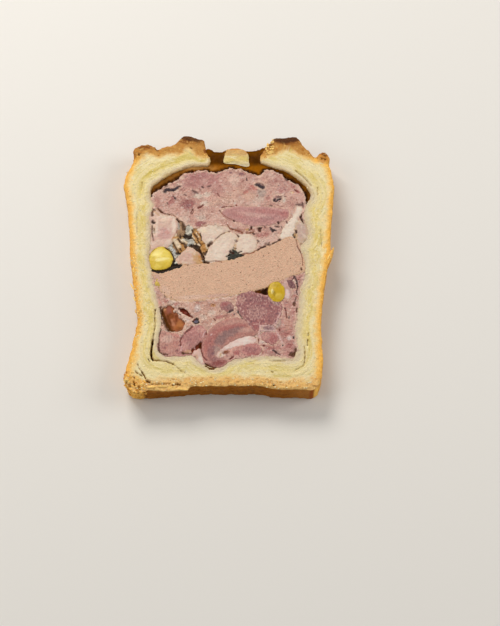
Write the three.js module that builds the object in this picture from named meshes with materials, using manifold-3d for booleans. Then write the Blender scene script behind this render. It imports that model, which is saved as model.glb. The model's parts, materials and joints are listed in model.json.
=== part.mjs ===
// A slice of pate en croute, lying on its back cut face with the front cut face up.
// Millimetres, +Z up, +X to the slice's right, +Y from the foot of the crust to its lid.
// Every layer of the filling is a prism that runs through the slice from face to face.

import * as THREE from "three";
import { mergeVertices } from "three/addons/utils/BufferGeometryUtils.js";
import Module from "manifold-3d";

const wasm = await Module();
wasm.setup();

// Driving sizes
const THICKNESS = 10.5;
const GAP = 0.3;
const FACET = 1.5;
const FINE_FACET = 1.2;
const CUT_MARGIN = 2;
const CRUMB_DEPTH = 0.22;
const CRACK_DEPTH = 4;
const FLAKE_DEPTH = 4.5;
const LIP_DEPTH = 2;
const SEED = 11;
const FEWEST_STEPS = 8;

// How far a kind of filling stands proud of the cut face, or lies below it
const RISE = { nut: 0.45, muscle: 0.1, mushroom: -0.15, jelly: -0.4, pocket: -0.35 };

// Colours and surfaces of the dough and the fillings
const FINISH = {
  dough: { color: 0xddcb86, roughness: 0.8 },
  jelly: { color: 0x5a2f08, roughness: 0.2 },
  forcemeat: { color: 0xc49486, roughness: 0.55 },
  muscle: { color: 0x9c6a68, roughness: 0.5 },
  poultry: { color: 0xdcc8b8, roughness: 0.5 },
  mousse: { color: 0xd2a588, roughness: 0.5 },
  fat: { color: 0xe2d3c6, roughness: 0.45 },
  nut: { color: 0xd8c03c, roughness: 0.4 },
  mushroom: { color: 0xa88763, roughness: 0.55 },
  truffle: { color: 0x2a2422, roughness: 0.5 },
};

// The crust's outside, anticlockwise from its left foot
const FOOT = [
  [-37.7, -51.1], [-35, -53.6], [-30, -53.7], [-22, -53.1], [-12.5, -52.2], [0, -52.1],
  [12.5, -52.3], [17, -53.3], [26.8, -53.4], [32.6, -53.2],
];
const RIGHT_WALL = [
  [34.6, -49.4], [35.3, -40], [35, -29], [36.4, -13.2], [38, -3], [39.4, 9.2], [40.6, 22],
  [41.3, 31.5], [40.6, 36.5],
];
const LID_TOP = [
  [39.4, 41], [34.2, 44.2], [31.9, 47], [28.1, 50.2], [22, 50.9], [15.6, 49.8], [8, 48.9], [0, 48.7],
  [-9, 49.3], [-14, 50.7], [-21, 50.5], [-26.2, 49.1], [-29.4, 47.6], [-34, 46.8], [-37.6, 44.6],
];
const LEFT_WALL = [
  [-38.3, 41.6], [-39.9, 38.7], [-41.3, 31.7], [-40.1, 24.6], [-38.5, 11.4], [-37.8, 1],
  [-36.4, -9.5], [-35.1, -18.3], [-34.2, -26.6], [-35.3, -33.4], [-36.7, -40.7], [-38, -47.6],
];

// Rolled rim beads where the lid is pinched to the walls, as centre and half sizes
const RIM_BEADS = [
  { centre: [-33.6, 46.6], half: [4.9, 3.6] },
  { centre: [37.4, 43.5], half: [2.5, 3.2] },
];

// Dough strips laid on the lid
const LID_STRIPS = [
  [
    [-21, 50], [-19.9, 52.3], [-17.8, 53.8], [-14, 53], [-10.4, 51.9], [-9.7, 50.6], [-10, 48.6],
    [-15, 48.4],
  ],
  [
    [17.2, 49.6], [17.6, 52.2], [20, 52.5], [24.6, 53.3], [26.8, 53.4], [28.1, 51.6], [29.6, 49.2],
    [23, 48.5],
  ],
];

// A sliver that peels off the right wall, and the ragged lip along the left foot
const WALL_FLAKE = [[37.8, -3.4], [39.3, -0.4], [40.2, 2.2], [40.6, 5.7], [39, 5.2], [37.4, 2]];
const FOOT_LIP = [
  [-36.4, -51.6], [-34.9, -54.3], [-32.6, -54.7], [-29.5, -53.9], [-24, -54.2], [-18, -54],
  [-14.3, -53.6], [-15.5, -51.6], [-26, -51],
];

// Where the filling meets the crust, anticlockwise from the lower left corner
const CAVITY = [
  [-25.3, -39.1], [-18.2, -40.2], [-13, -39.9], [-11.2, -42.2], [-7.6, -44.2], [-5.4, -45.2],
  [-2.4, -44.5], [0.4, -42.2], [4.4, -41], [15.9, -40.1], [24.5, -40.9], [25.6, -38.2],
  [24.9, -29.2], [26.3, -21], [27, -13], [28.8, -8.4], [29, -3.6], [28.6, 0.2], [27.5, 3.4],
  [27.3, 5.5], [28.8, 6.4], [30, 8.2], [30.5, 11.4], [29.8, 14.4], [29.1, 17], [29.1, 20.2],
  [30.6, 24], [31.8, 26.9], [30.3, 30.4], [26.2, 34.6], [22.3, 37.5], [17.2, 39.4], [12.4, 41.2],
  [2, 41], [-8.4, 40], [-14, 39.8], [-18.8, 38.4], [-24.2, 35.5], [-28.1, 32.5], [-30.2, 30.4],
  [-30.2, 26.4], [-29, 22.6], [-30.4, 19.4], [-30, 9], [-30.2, 0], [-29.3, -5.2], [-28.6, -10.2],
  [-26.8, -17.7], [-25.5, -22.8], [-25, -27], [-25.9, -33.4],
];

// The chimney in the lid: its two sides from the filling up, and the sunken tops of the jelly in it
const CHIMNEY_LEFT = [[-9.6, 39.6], [-7.7, 40.7], [-7, 42.4], [-7.3, 44.2], [-8.6, 45.8], [-9.3, 48.4]];
const CHIMNEY_RIGHT = [[12.6, 41.2], [11.9, 43.2], [12.1, 45.4], [13.3, 47.4], [15.3, 49.5]];
const CHIMNEY_SKY = 56;
const JELLY_TOP = [
  [13, 48.2], [10.6, 47.1], [8.6, 46.9], [6, 47.3], [2, 47.5], [-1.8, 47.2], [-3.8, 46.4],
  [-6, 46.6], [-7.8, 47.9],
];
const LID_PLUG = [
  [-2.2, 41.9], [-2.2, 43.4], [-1.7, 45.4], [-1.2, 47.6], [1.4, 48.3], [4.4, 48.1], [6.6, 47],
  [7.7, 45], [7.6, 42.6], [8.1, 40.4], [5.8, 40.4], [2.4, 41.5],
];

// Cracks that open in the dough of the cut face: their course and their widest place
const CRACKS = [
  { course: [[-27.6, -22.2], [-27.4, -28], [-27.9, -33], [-28.2, -38], [-27.7, -41.8]], width: 1.1 },
  { course: [[-27.4, -42], [-23, -42.3], [-20.7, -43.3], [-17.5, -45.8]], width: 0.6 },
  { course: [[-33.5, -43.3], [-32, -46], [-30.2, -49.2]], width: 0.9 },
  { course: [[-28.2, -51.2], [-23, -51.3], [-17.8, -51]], width: 0.7 },
  { course: [[28.7, -36.6], [28.9, -40.4], [28.2, -44.2], [24.9, -46]], width: 0.6 },
  { course: [[26.5, 38], [30, 34.5], [32.5, 31]], width: 0.6 },
];

// The filling as name, kind and plan, a run of points or an oval.
// The pieces take their place in this order, and a later one gives way to those before it.
const NUTS = [
  ["pistachio_left", "nut", [
    [-30.4, -0.3], [-28.8, 3.3], [-25.8, 4.6], [-22.7, 3.1], [-21.4, -0.3], [-22.6, -3.7],
    [-25.8, -5], [-29, -4.7], [-30.1, -3],
  ]],
  ["pistachio_right", "nut", { centre: [18.3, -14.3], half: [3.1, 4.1], turn: 6 }],
];
const BLACK_WEDGE = ["black_mushroom_wedge", "truffle", [
  [-29.6, -5.4], [-25.8, -4.4], [-22, -3], [-20.8, -0.6], [-19.8, -2.4], [-17.2, -3.4],
  [-21.4, -4.9], [-26, -6.5],
]];
const MOUSSE = ["liver_mousse", "mousse", [
  [-30.5, -5.6], [-24, -5.8], [-20, -4], [-13, -2.9], [-5, -1.9], [1.2, -0.9], [7.6, 1.5], [14.6, 5],
  [19.8, 7.4], [24.2, 9], [25.6, 8.5], [27.8, 5.2], [29.4, 1.5], [30, -4], [28.6, -5.8], [24.6, -7],
  [18.5, -10], [13.4, -12.4], [6, -14.5], [0, -15.8], [-10, -17.7], [-18, -18], [-23, -16.5],
  [-26, -13], [-28, -8.2],
]];
const POULTRY = [
  ["poultry_left", "poultry", [
    [-31, 15.6], [-28.8, 20], [-25.8, 18.4], [-20.7, 17.7], [-19.9, 13.6], [-21.4, 8.4], [-23.4, 5],
    [-28, 2.6], [-31.4, 0.6], [-31.6, 9],
  ]],
  ["poultry_upper", "poultry", [
    [-11.8, 12.2], [-8.2, 13.8], [-4.4, 14], [0.4, 12.2], [-2.2, 10.5], [-6.4, 6.5], [-8.4, 6.1],
    [-10.2, 9],
  ]],
  ["poultry_middle", "poultry", [
    [-8.6, -2.4], [-8.1, 2.2], [-5.6, 6.6], [0, 11.2], [2.6, 10.4], [3, 8], [1.8, 4.2], [-0.4, 0.8],
    [-1, -2.2],
  ]],
  ["poultry_right", "poultry", [
    [3, 8.8], [5.4, 10.3], [8.6, 10.1], [10.8, 7.6], [10.7, 4.8], [9, 2.4], [6, 1.6], [3.2, 2.8],
    [1.6, 5],
  ]],
  ["poultry_lower", "poultry", [
    [-20.4, -1.6], [-17.5, 2.2], [-15.3, 4.4], [-12.7, 3.1], [-10.4, 0.8], [-9.9, -3.2],
    [-17.8, -4.2],
  ]],
  ["poultry_strip", "poultry", [
    [26.6, 22], [25.2, 18.2], [22, 13.7], [20, 8.4], [24.4, 8.6], [25.5, 13.4], [27.2, 18],
    [28.7, 21.6],
  ]],
  ["poultry_side", "poultry", [
    [25.6, 15.4], [28.4, 16], [30.2, 14], [30.6, 11.4], [30, 8.2], [28.3, 6.1], [25.4, 7.4],
    [24.4, 10],
  ]],
];
const MUSCLE_LENS = ["muscle_lens", "muscle", [
  [-2.5, 19.8], [0.4, 21.5], [7, 22], [18, 21.3], [23.3, 20], [22.6, 17.4], [17.8, 15], [10.2, 14],
  [3, 15.7], [-1.6, 17.8],
]];
const MUSHROOMS = [
  ["mushroom_stalk", "mushroom", [
    [-20.2, 16.8], [-18.2, 15.6], [-16.8, 14.2], [-16.8, 11.8], [-17.6, 9.4], [-19.4, 9],
    [-20.4, 12.6],
  ]],
  ["mushroom_white", "mushroom", { centre: [-15.5, 11.9], half: [1.7, 2.3] }],
  ["mushroom_fold", "mushroom", [
    [-14.4, 12.4], [-11.4, 12.6], [-9.8, 9.4], [-9.4, 6.6], [-11.6, 5.7], [-13.8, 8.4],
  ]],
  ["mushroom_foot", "mushroom", [
    [-11, 6], [-8.4, 7], [-6, 6.6], [-7.4, 3.4], [-8.8, 1], [-10.4, 1.8], [-10.9, 4],
  ]],
  ["mushroom_curl", "mushroom", [
    [-22, 7.6], [-20, 10], [-17.8, 9.4], [-16.6, 7.6], [-16.1, 4.2], [-18.6, 1.8], [-20.4, 3.6],
  ]],
  ["mushroom_pale", "mushroom", [
    [-24.6, 4.6], [-21.6, 7.4], [-20.2, 4.4], [-18, 2.4], [-19.8, -1], [-21.4, -1.2], [-22, 2],
  ]],
  ["mushroom_grey", "mushroom", [[-17, 8.2], [-14.2, 8.2], [-12.8, 6.2], [-14.6, 5.6], [-16.8, 5.2]]],
  ["black_mushroom_bit", "truffle", [
    [-17.4, 9.9], [-15.2, 10.3], [-13.4, 8.8], [-14.2, 7.6], [-17, 7.8],
  ]],
  ["black_mushroom_line", "truffle", [
    [-15, 6.2], [-12.8, 6.6], [-10.6, 4.4], [-10.2, 2], [-12.6, 3.2], [-15.2, 4.4],
  ]],
  ["jelly_link", "pocket", [[-11, 2.6], [-9.8, 1.4], [-8.4, 1.2], [-8, -3], [-10.4, -3]]],
  ["black_mushroom_tuft", "truffle", [
    [-2.4, -1.4], [-0.2, 0.4], [0.4, 3], [2, 4.6], [4.4, 2.8], [7.2, 2], [6.6, 0.2], [4, -0.6],
    [0.2, -2],
  ]],
];
const TRUFFLES = [
  ["truffle_strip", "truffle", [
    [-25.6, 28.8], [-25, 30.4], [-23.2, 30.3], [-21.6, 30.5], [-19.2, 32.2], [-19, 31.2],
    [-21.4, 29.4], [-24.4, 29.2],
  ]],
  ["truffle_shard", "truffle", { centre: [12.3, 31.6], half: [2, 1], turn: -32 }],
  ["truffle_knot", "truffle", { centre: [19.1, 25.8], half: [1.8, 1.3], turn: 35 }],
  ["truffle_eye", "truffle", { centre: [-12, -26.5], half: [1.35, 1.25] }],
];
const LOWER_FILLING = [
  ["jelly_wedge", "pocket", [
    [9.4, -14.2], [13, -12.8], [15.8, -11], [15, -14.4], [14.6, -15.8], [12.2, -15.1],
  ]],
  ["jelly_pocket", "pocket", [
    [-25.3, -22.2], [-23, -19.8], [-20.7, -20.6], [-19.8, -22.8], [-16.2, -27.8], [-18.4, -30],
    [-21.6, -30.4], [-23.9, -26],
  ]],
  ["jelly_drop", "pocket", [
    [-18.9, -20.9], [-17.6, -20.3], [-15.2, -21.8], [-13.3, -24.8], [-16.9, -23.7],
  ]],
  ["fat_strip", "fat", [
    [-3.4, -38.6], [-0.6, -36.1], [4, -33.3], [8.6, -32.3], [11, -34.2], [8.6, -35.4], [3.8, -36.5],
    [-0.6, -38],
  ]],
  ["fat_wedge", "fat", [
    [-13.6, -40.6], [-11.6, -38], [-9.8, -38.4], [-9.2, -42], [-8.6, -44], [-12, -42.6],
  ]],
  ["jelly_seam", "pocket", [
    [-10.2, -34.4], [-9.4, -36.4], [-11.4, -38.2], [-13.8, -39.6], [-14, -38.2], [-11.8, -35.8],
  ]],
  ["muscle_large", "muscle", [
    [3.9, -16.2], [7.4, -14.3], [10.8, -14.3], [15.6, -15.6], [19.9, -19.6], [19.9, -22.8],
    [17.6, -27.4], [12.3, -27.9], [10.9, -30.6], [7.2, -26.8], [3.4, -20.4],
  ]],
  ["muscle_curl", "muscle", [
    [6.8, -26.2], [2, -25.2], [-2.6, -26.8], [-6.6, -30], [-9.2, -35], [-10, -39], [-8.6, -42.2],
    [-4.4, -44.4], [-1.2, -44.2], [-0.6, -41.8], [-4.4, -41], [-3.8, -38.4], [-2, -36.8], [3, -33.5],
    [10.8, -31],
  ]],
  ["jelly_foot", "pocket", [[-9, -42.6], [-6.6, -43.4], [-3.6, -44.4], [-3.4, -46.4], [-9, -45.4]]],
  ["muscle_under", "muscle", { centre: [8.7, -37.9], half: [3.9, 2.2], turn: 6 }],
  ["muscle_fold", "muscle", [
    [-1, -43.2], [-4.8, -41.6], [-4.4, -39], [-2.2, -37.6], [3, -35.8], [7.4, -35], [7.6, -37.6],
    [6.8, -41.6], [4, -42.6],
  ]],
  ["muscle_lobe", "muscle", { centre: [15.8, -33.1], half: [3.3, 2.2], turn: -16 }],
  ["muscle_fascia", "muscle", { centre: [15.3, -29.3], half: [2.7, 0.8] }],
  ["muscle_scrap", "muscle", { centre: [-0.4, -20.3], half: [2.6, 1.9], turn: -25 }],
  ["muscle_left", "muscle", [
    [-17.8, -34.6], [-15.6, -30.5], [-11.6, -28.4], [-8.4, -29.8], [-8, -33.6], [-9.6, -37.6],
    [-12, -39.4], [-14.2, -41], [-18, -41],
  ]],
  ["muscle_corner", "muscle", [
    [-26.4, -31], [-21.4, -31.2], [-17.6, -33], [-17.2, -40.8], [-26.6, -40.6],
  ]],
  ["muscle_side", "muscle", [[22.5, -9.6], [24.2, -9.5], [25.2, -11.4], [25, -13], [23.6, -12]]],
  ["fat_side", "fat", [
    [21, -10.6], [22.2, -9.4], [23.4, -12], [24.2, -14.4], [22.8, -17.4], [21.2, -16.4],
  ]],
];

// The chopped meat round the pieces: the dome under the jelly, and all that lies below the mousse
const DOME = ["forcemeat_top", "forcemeat", [
  [-32, -5.2], [-26, -8], [-14, -10], [0, -8], [14, -3], [27, 1], [32, 3], [32, 14], [30.4, 24],
  [29.8, 28.2], [26.5, 32.3], [21.7, 35.5], [20.4, 36.8], [14, 38.7], [12.8, 36.8], [11.4, 35.4],
  [10.2, 36.7], [6.6, 38.1], [2.2, 39.4], [0, 39.6], [-3.4, 38.1], [-6, 37.3], [-8.4, 38.1],
  [-14, 37.9], [-18.2, 36.8], [-20.4, 34.4], [-23.6, 32.8], [-26.8, 30.2], [-28.7, 29.4],
  [-30.2, 27.4], [-33, 10],
]];
const BASE_REGION = [[-34, -48], [34, -48], [34, -4], [-34, -4]];

// A seeded draw from 0 to 1, the same on every run
function seededDraw(seed) {
  let drawn = seed;
  return () => {
    drawn += 1;
    return THREE.MathUtils.seededRandom(drawn);
  };
}

// A smooth closed line through its corner points, in steps of about one facet
function closedLine(points, facet = FACET) {
  const corners = points.map(([x, y]) => new THREE.Vector3(x, y, 0));
  const curve = new THREE.CatmullRomCurve3(corners, true, "centripetal");
  const steps = Math.max(FEWEST_STEPS, Math.round(curve.getLength() / facet));
  return curve.getSpacedPoints(steps).slice(0, steps).map((p) => new THREE.Vector2(p.x, p.y));
}

function straightLine(points) {
  return points.map(([x, y]) => new THREE.Vector2(x, y));
}

// An oval line from its centre, its two half sizes and its turn in degrees
function oval({ centre, half, turn = 0 }, facet = FACET) {
  const angle = THREE.MathUtils.degToRad(turn);
  const curve = new THREE.EllipseCurve(...centre, ...half, 0, 2 * Math.PI, false, angle);
  const steps = Math.max(FEWEST_STEPS, Math.round(curve.getLength() / facet));
  return curve.getSpacedPoints(steps).slice(0, steps);
}

function outlineOf(shape) {
  return Array.isArray(shape) ? closedLine(shape) : oval(shape);
}

// The line with each point moved outwards by its own distance
function moved(line, distanceAt) {
  const outward = THREE.ShapeUtils.isClockWise(line) ? -1 : 1;
  return line.map((point, i) => {
    const before = line[(i + line.length - 1) % line.length];
    const after = line[(i + 1) % line.length];
    const along = after.clone().sub(before).normalize();
    const normal = new THREE.Vector2(along.y, -along.x).multiplyScalar(outward);
    return point.clone().addScaledVector(normal, distanceAt(i));
  });
}

function grown(line) {
  return moved(line, () => GAP);
}

function crumbly(line, draw) {
  return moved(line, () => (2 * draw() - 1) * CRUMB_DEPTH);
}

// A crack's outline: widest in the middle of its course and pointed at both ends
function crackLine({ course, width }) {
  const curve = new THREE.SplineCurve(straightLine(course));
  const steps = Math.round(curve.getLength() / FACET);
  const sides = [[], []];
  for (let i = 1; i < steps; i += 1) {
    const share = i / steps;
    const along = curve.getTangentAt(share);
    const reach = (width / 2) * Math.sin(Math.PI * share);
    const across = new THREE.Vector2(-along.y, along.x).multiplyScalar(reach);
    const middle = curve.getPointAt(share);
    sides[0].push(middle.clone().sub(across));
    sides[1].unshift(middle.clone().add(across));
  }
  return [curve.getPointAt(0), ...sides[0], curve.getPointAt(1), ...sides[1]];
}

// An upright solid with the line as its plan
function prism(line, bottom, top) {
  const settings = { depth: top - bottom, bevelEnabled: false };
  const geometry = new THREE.ExtrudeGeometry(new THREE.Shape(line), settings);
  geometry.translate(0, 0, bottom);
  geometry.deleteAttribute("normal");
  geometry.deleteAttribute("uv");
  const merged = mergeVertices(geometry);
  const vertProperties = Float32Array.from(merged.attributes.position.array);
  const triVerts = Uint32Array.from(merged.index.array);
  return new wasm.Manifold(new wasm.Mesh({ numProp: 3, vertProperties, triVerts }));
}

function cutter(line) {
  return prism(line, -CUT_MARGIN, THICKNESS + CUT_MARGIN);
}

function bodiesBySize(solid) {
  return solid.decompose().sort((a, b) => b.volume() - a.volume());
}

function meshOf(name, finish, solid) {
  const { vertProperties, triVerts } = solid.getMesh();
  const geometry = new THREE.BufferGeometry();
  geometry.setAttribute("position", new THREE.BufferAttribute(vertProperties, 3));
  geometry.setIndex(new THREE.BufferAttribute(triVerts, 1));
  geometry.computeVertexNormals();
  const mesh = new THREE.Mesh(geometry, new THREE.MeshStandardMaterial({ ...finish, metalness: 0 }));
  mesh.name = name;
  return mesh;
}

// The chimney through the lid, between its two sides and up to a closing line
function chimneyLine(topLine) {
  return straightLine([...CHIMNEY_RIGHT, ...topLine, ...[...CHIMNEY_LEFT].reverse()]);
}

// The dough shell: walls, lid, rim beads and lid strips, hollowed for the filling, cracked and flaked
function crustSolid() {
  const draw = seededDraw(SEED);
  const outside = closedLine([...FOOT, ...RIGHT_WALL, ...LID_TOP, ...LEFT_WALL], FINE_FACET);
  let crust = prism(crumbly(outside, draw), 0, THICKNESS);
  for (const bead of RIM_BEADS) {
    crust = crust.add(prism(crumbly(oval(bead, FINE_FACET), draw), 0, THICKNESS));
  }
  for (const strip of LID_STRIPS) {
    crust = crust.add(prism(crumbly(closedLine(strip, FINE_FACET), draw), 0, THICKNESS));
  }
  crust = crust.add(prism(closedLine(WALL_FLAKE, FINE_FACET), THICKNESS - FLAKE_DEPTH, THICKNESS));
  const lip = crumbly(closedLine(FOOT_LIP, FINE_FACET), draw);
  crust = crust.add(prism(lip, THICKNESS - LIP_DEPTH, THICKNESS));
  crust = crust.subtract(cutter(grown(closedLine(CAVITY))));
  const sky = [[CHIMNEY_RIGHT.at(-1)[0], CHIMNEY_SKY], [CHIMNEY_LEFT.at(-1)[0], CHIMNEY_SKY]];
  crust = crust.subtract(cutter(grown(chimneyLine(sky))));
  for (const crack of CRACKS) {
    crust = crust.subtract(prism(crackLine(crack), THICKNESS - CRACK_DEPTH, THICKNESS + CUT_MARGIN));
  }
  return bodiesBySize(crust)[0];
}

function topOf(kind) {
  return THICKNESS + (RISE[kind] ?? 0);
}

// What is left of a region of the filling once the pieces before it have taken their place
function leftOver(region, taken) {
  return taken.reduce((solid, neighbour) => solid.subtract(neighbour), region);
}

const slice = new THREE.Group();
slice.add(meshOf("crust", FINISH.dough, crustSolid()));

const cavity = cutter(closedLine(CAVITY));
const taken = [];
const pieces = [
  ...NUTS, BLACK_WEDGE, MOUSSE, ...POULTRY, MUSCLE_LENS, ...MUSHROOMS, ...TRUFFLES, ...LOWER_FILLING, DOME,
];
for (const [name, kind, shape] of pieces) {
  const line = outlineOf(shape);
  const region = prism(line, 0, topOf(kind)).intersect(cavity);
  const solid = bodiesBySize(leftOver(region, taken))[0];
  const finish = FINISH[kind] ?? FINISH.jelly;
  slice.add(meshOf(name, finish, solid));
  taken.push(cutter(grown(line)));
}

// The lower chopped meat lies in two parts, left and right of the large muscle
const baseLine = straightLine(BASE_REGION);
const base = bodiesBySize(leftOver(prism(baseLine, 0, THICKNESS).intersect(cavity), taken)).slice(0, 2);
base.sort((a, b) => a.boundingBox().min[0] - b.boundingBox().min[0]);
["forcemeat_left", "forcemeat_right"].forEach((name, i) => {
  slice.add(meshOf(name, FINISH.forcemeat, base[i]));
});

const plugLine = closedLine(LID_PLUG);
slice.add(meshOf("lid_plug", FINISH.dough, prism(plugLine, 0, THICKNESS)));

// The jelly fills the room between the dome, the lid and the plug, and sinks a little in the chimney
taken.push(cutter(grown(plugLine)), cutter(grown(baseLine)));
const underLid = prism(closedLine(CAVITY), 0, topOf("jelly"));
const inChimney = prism(chimneyLine(JELLY_TOP), 0, topOf("jelly"));
slice.add(meshOf("jelly", FINISH.jelly, bodiesBySize(leftOver(underLid.add(inChimney), taken))[0]));

// The origin is under the middle of the slice's box
const box = new THREE.Box3().setFromObject(slice);
const middle = box.getCenter(new THREE.Vector3());
slice.position.set(-middle.x, -middle.y, -box.min.z);

export default slice;
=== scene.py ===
"""The looks of a slice of pate en croute that lies flat with a cut face up.

Places on the slice are in millimetres on the cut face, +X to the right and +Y towards the lid, and SHIFT
moves them into the frame. Each solid gets a fine skin with its own relief and colours, and the small bits
that show on the cut face are pieces of their own.
"""
import json
import math
import random

import bmesh
import bpy
import numpy as np
from mathutils import Euler, Matrix, Vector, noise
from mathutils.kdtree import KDTree


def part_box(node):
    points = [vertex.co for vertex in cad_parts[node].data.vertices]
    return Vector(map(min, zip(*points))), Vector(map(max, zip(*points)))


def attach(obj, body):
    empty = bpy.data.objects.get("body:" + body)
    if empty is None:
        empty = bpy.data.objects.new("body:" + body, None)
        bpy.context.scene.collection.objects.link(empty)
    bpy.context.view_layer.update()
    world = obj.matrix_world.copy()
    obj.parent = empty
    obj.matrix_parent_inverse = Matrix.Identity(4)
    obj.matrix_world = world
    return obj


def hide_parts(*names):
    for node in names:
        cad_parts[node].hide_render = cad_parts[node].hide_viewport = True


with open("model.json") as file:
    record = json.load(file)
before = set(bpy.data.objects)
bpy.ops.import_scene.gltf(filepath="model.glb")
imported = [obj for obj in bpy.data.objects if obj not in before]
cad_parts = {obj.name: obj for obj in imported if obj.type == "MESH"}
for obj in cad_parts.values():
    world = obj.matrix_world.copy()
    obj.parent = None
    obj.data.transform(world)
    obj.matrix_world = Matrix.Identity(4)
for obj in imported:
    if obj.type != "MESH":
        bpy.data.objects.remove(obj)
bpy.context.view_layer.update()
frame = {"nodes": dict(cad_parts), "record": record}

# The roughness of the small bits is the same in each run
noise.seed_set(7)

# Sizes in millimetres, with MM for a millimetre in metres
MM = 0.001
CUT_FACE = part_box("crust")[1].z / MM
WELD = 0.001
OUTLINE_STEP = 0.3
FINE = 0.42
SMALL_FINE = 0.3
DOUGH_FINE = 0.56
ROUGH_SIZE = 0.5
WALL_RADIUS = 36.0
CHIMNEY_MIDDLE = 2.0

# The right pistachio's middle on the cut face ties the places below to the frame
NUT_MIDDLE = (18.3, -14.3)
nut_low, nut_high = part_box("pistachio_right")
SHIFT = ((nut_low + nut_high) / 2 / MM).to_2d() - Vector(NUT_MIDDLE)


def tone(red, green, blue):
    """A display colour from 0 to 255 as linear light."""
    share = np.array([red, green, blue]) / 255.0
    return np.where(share <= 0.04045, share / 12.92, ((share + 0.055) / 1.055) ** 2.4)


# Dough
CRUMB_YELLOW = tone(227, 205, 136)
CRUMB_CREAM = tone(233, 218, 172)
CRUMB_IVORY = tone(216, 199, 166)
CRUMB_STAINED = tone(200, 176, 148)
CRUMB_OLIVE = tone(207, 184, 90)
CRUMB_PALE = tone(248, 232, 184)
PLUG_CRUMB = tone(219, 194, 130)
PLUG_TAN = tone(206, 165, 106)
SKIN_GLOW = tone(244, 200, 116)
SKIN_GOLD = tone(236, 176, 80)
# Partly the skin's own amber, partly painted light on the right wall's rim and the foot's front corners
SKIN_AMBER_LIT = tone(252, 192, 88)
SKIN_TAN = tone(228, 178, 104)
SKIN_TOAST = tone(194, 126, 50)
LID_TOAST = tone(190, 137, 68)
LID_BROWN = tone(158, 104, 44)
FOOT_TAN = tone(230, 184, 114)
FOOT_GLOW = tone(242, 198, 124)
SKIN_BROWN = tone(132, 74, 26)
SKIN_DARK = tone(78, 42, 16)
BASE_BROWN = tone(164, 96, 4)
BASE_RED = tone(170, 84, 10)
# Painted shade in the dough's cracks and hollows, brown where shallow and near black where deep
CRACK_SHADE_BROWN = tone(150, 104, 34)
CRACK_SHADE_DEEP = tone(50, 22, 6)
# Jelly
JELLY_DEEP = tone(50, 20, 0)
JELLY_PALE = tone(178, 134, 78)
JELLY_AMBER = tone(146, 86, 4)
JELLY_STAIN = tone(186, 146, 88)
JELLY_BROWN = tone(86, 48, 14)
JELLY_RED = tone(150, 88, 58)
JELLY_EDGE = tone(150, 92, 66)
# Meats
PINK = tone(205, 161, 146)
PALE_PINK = tone(216, 184, 168)
VEIN = tone(213, 174, 168)
BEIGE = tone(210, 170, 150)
LEAN = tone(152, 94, 90)
PEACH = tone(226, 192, 168)
ROSE_MAUVE = tone(178, 122, 118)
CORAL = tone(188, 112, 100)
RED = tone(146, 76, 64)
DEEP_RED = tone(108, 44, 32)
DEEP_BROWN = tone(62, 30, 14)
MAUVE = tone(156, 102, 99)
BRICK = tone(166, 94, 90)
VIOLET = tone(122, 82, 88)
GREY_PURPLE = tone(138, 106, 102)
GREY = tone(166, 148, 138)
CREAM = tone(215, 192, 172)
ROSE = tone(198, 158, 150)
LINEN = tone(222, 205, 188)
TAN = tone(190, 148, 98)
CARAMEL = tone(184, 128, 60)
RUST = tone(138, 78, 50)
MOUSSE_TAN = tone(214, 173, 144)
MOUSSE_DOT = tone(232, 200, 172)
MOUSSE_FAT = tone(232, 204, 178)
SPICE = tone(120, 74, 52)
SPICE_DARK = tone(104, 64, 44)
FAT_WHITE = tone(222, 202, 192)
# Nuts, mushrooms and truffle
NUT_YELLOW = tone(226, 201, 90)
# Partly the kernels' deeper yellow edge, partly painted shade round their domed rims
NUT_SHADE = tone(204, 170, 34)
NUT_OLIVE = tone(198, 162, 22)
NUT_PALE = tone(220, 192, 84)
NUT_CHIP = tone(196, 166, 74)
BARK = tone(80, 48, 20)
BLUE_GREY = tone(168, 161, 148)
GREEN_WHITE = tone(211, 203, 186)
IVORY = tone(228, 206, 176)
BLACK = tone(50, 32, 18)
INK = tone(60, 44, 46)
SLATE = tone(98, 90, 94)
SMOKE = tone(112, 84, 76)
NAVY = tone(50, 38, 44)
TRUFFLE_VEIN = tone(104, 96, 92)
# Stage
FLOOR_PALE = tone(226, 223, 217)


def step_up(low, high, value):
    """A smooth rise from 0 at low to 1 at high."""
    share = np.clip((value - low) / (high - low), 0.0, 1.0)
    return share * share * (3.0 - 2.0 * share)


def blend(under, over, share):
    """One colour laid over another by a share for each point."""
    share = np.asarray(share)[..., None]
    return under * (1.0 - share) + over * share


# The soft noise's fall-off, its step from size to size and its number of sizes
FRACTAL = (1.0, 2.0, 3)
# How far apart the noise of one seed lies from that of the next
RIPPLE_STRIDE = Vector((13.7, 5.1, 9.3))
LUMP_STRIDE = Vector((3.3, 8.9, 4.7))
SEAM_WIDTH = 0.3


def ripple(points, size, seed):
    """Soft noise from about -1 to 1 with lumps of a size in millimetres."""
    offset = RIPPLE_STRIDE * seed
    return np.array([noise.fractal(Vector(p) / size + offset, *FRACTAL) for p in points.tolist()])


def lumps(points, size, seed):
    """How deep each point lies between lumps of a size, from 0 on a lump to 1 in the seam between two."""
    offset = LUMP_STRIDE * seed
    gaps = []
    for point in points.tolist():
        reach = noise.voronoi(Vector(point) / size + offset)[0]
        gaps.append(reach[1] - reach[0])
    return 1.0 - step_up(0.0, SEAM_WIDTH, np.array(gaps))


def oval_reach(plan, place, half, turn):
    """How far each point lies from an oval's middle: 1 on the oval's line."""
    angle = math.radians(turn)
    away = plan - np.array(place)
    along = away[:, 0] * math.cos(angle) + away[:, 1] * math.sin(angle)
    across = away[:, 1] * math.cos(angle) - away[:, 0] * math.sin(angle)
    return np.hypot(along / half[0], across / half[1])


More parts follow.
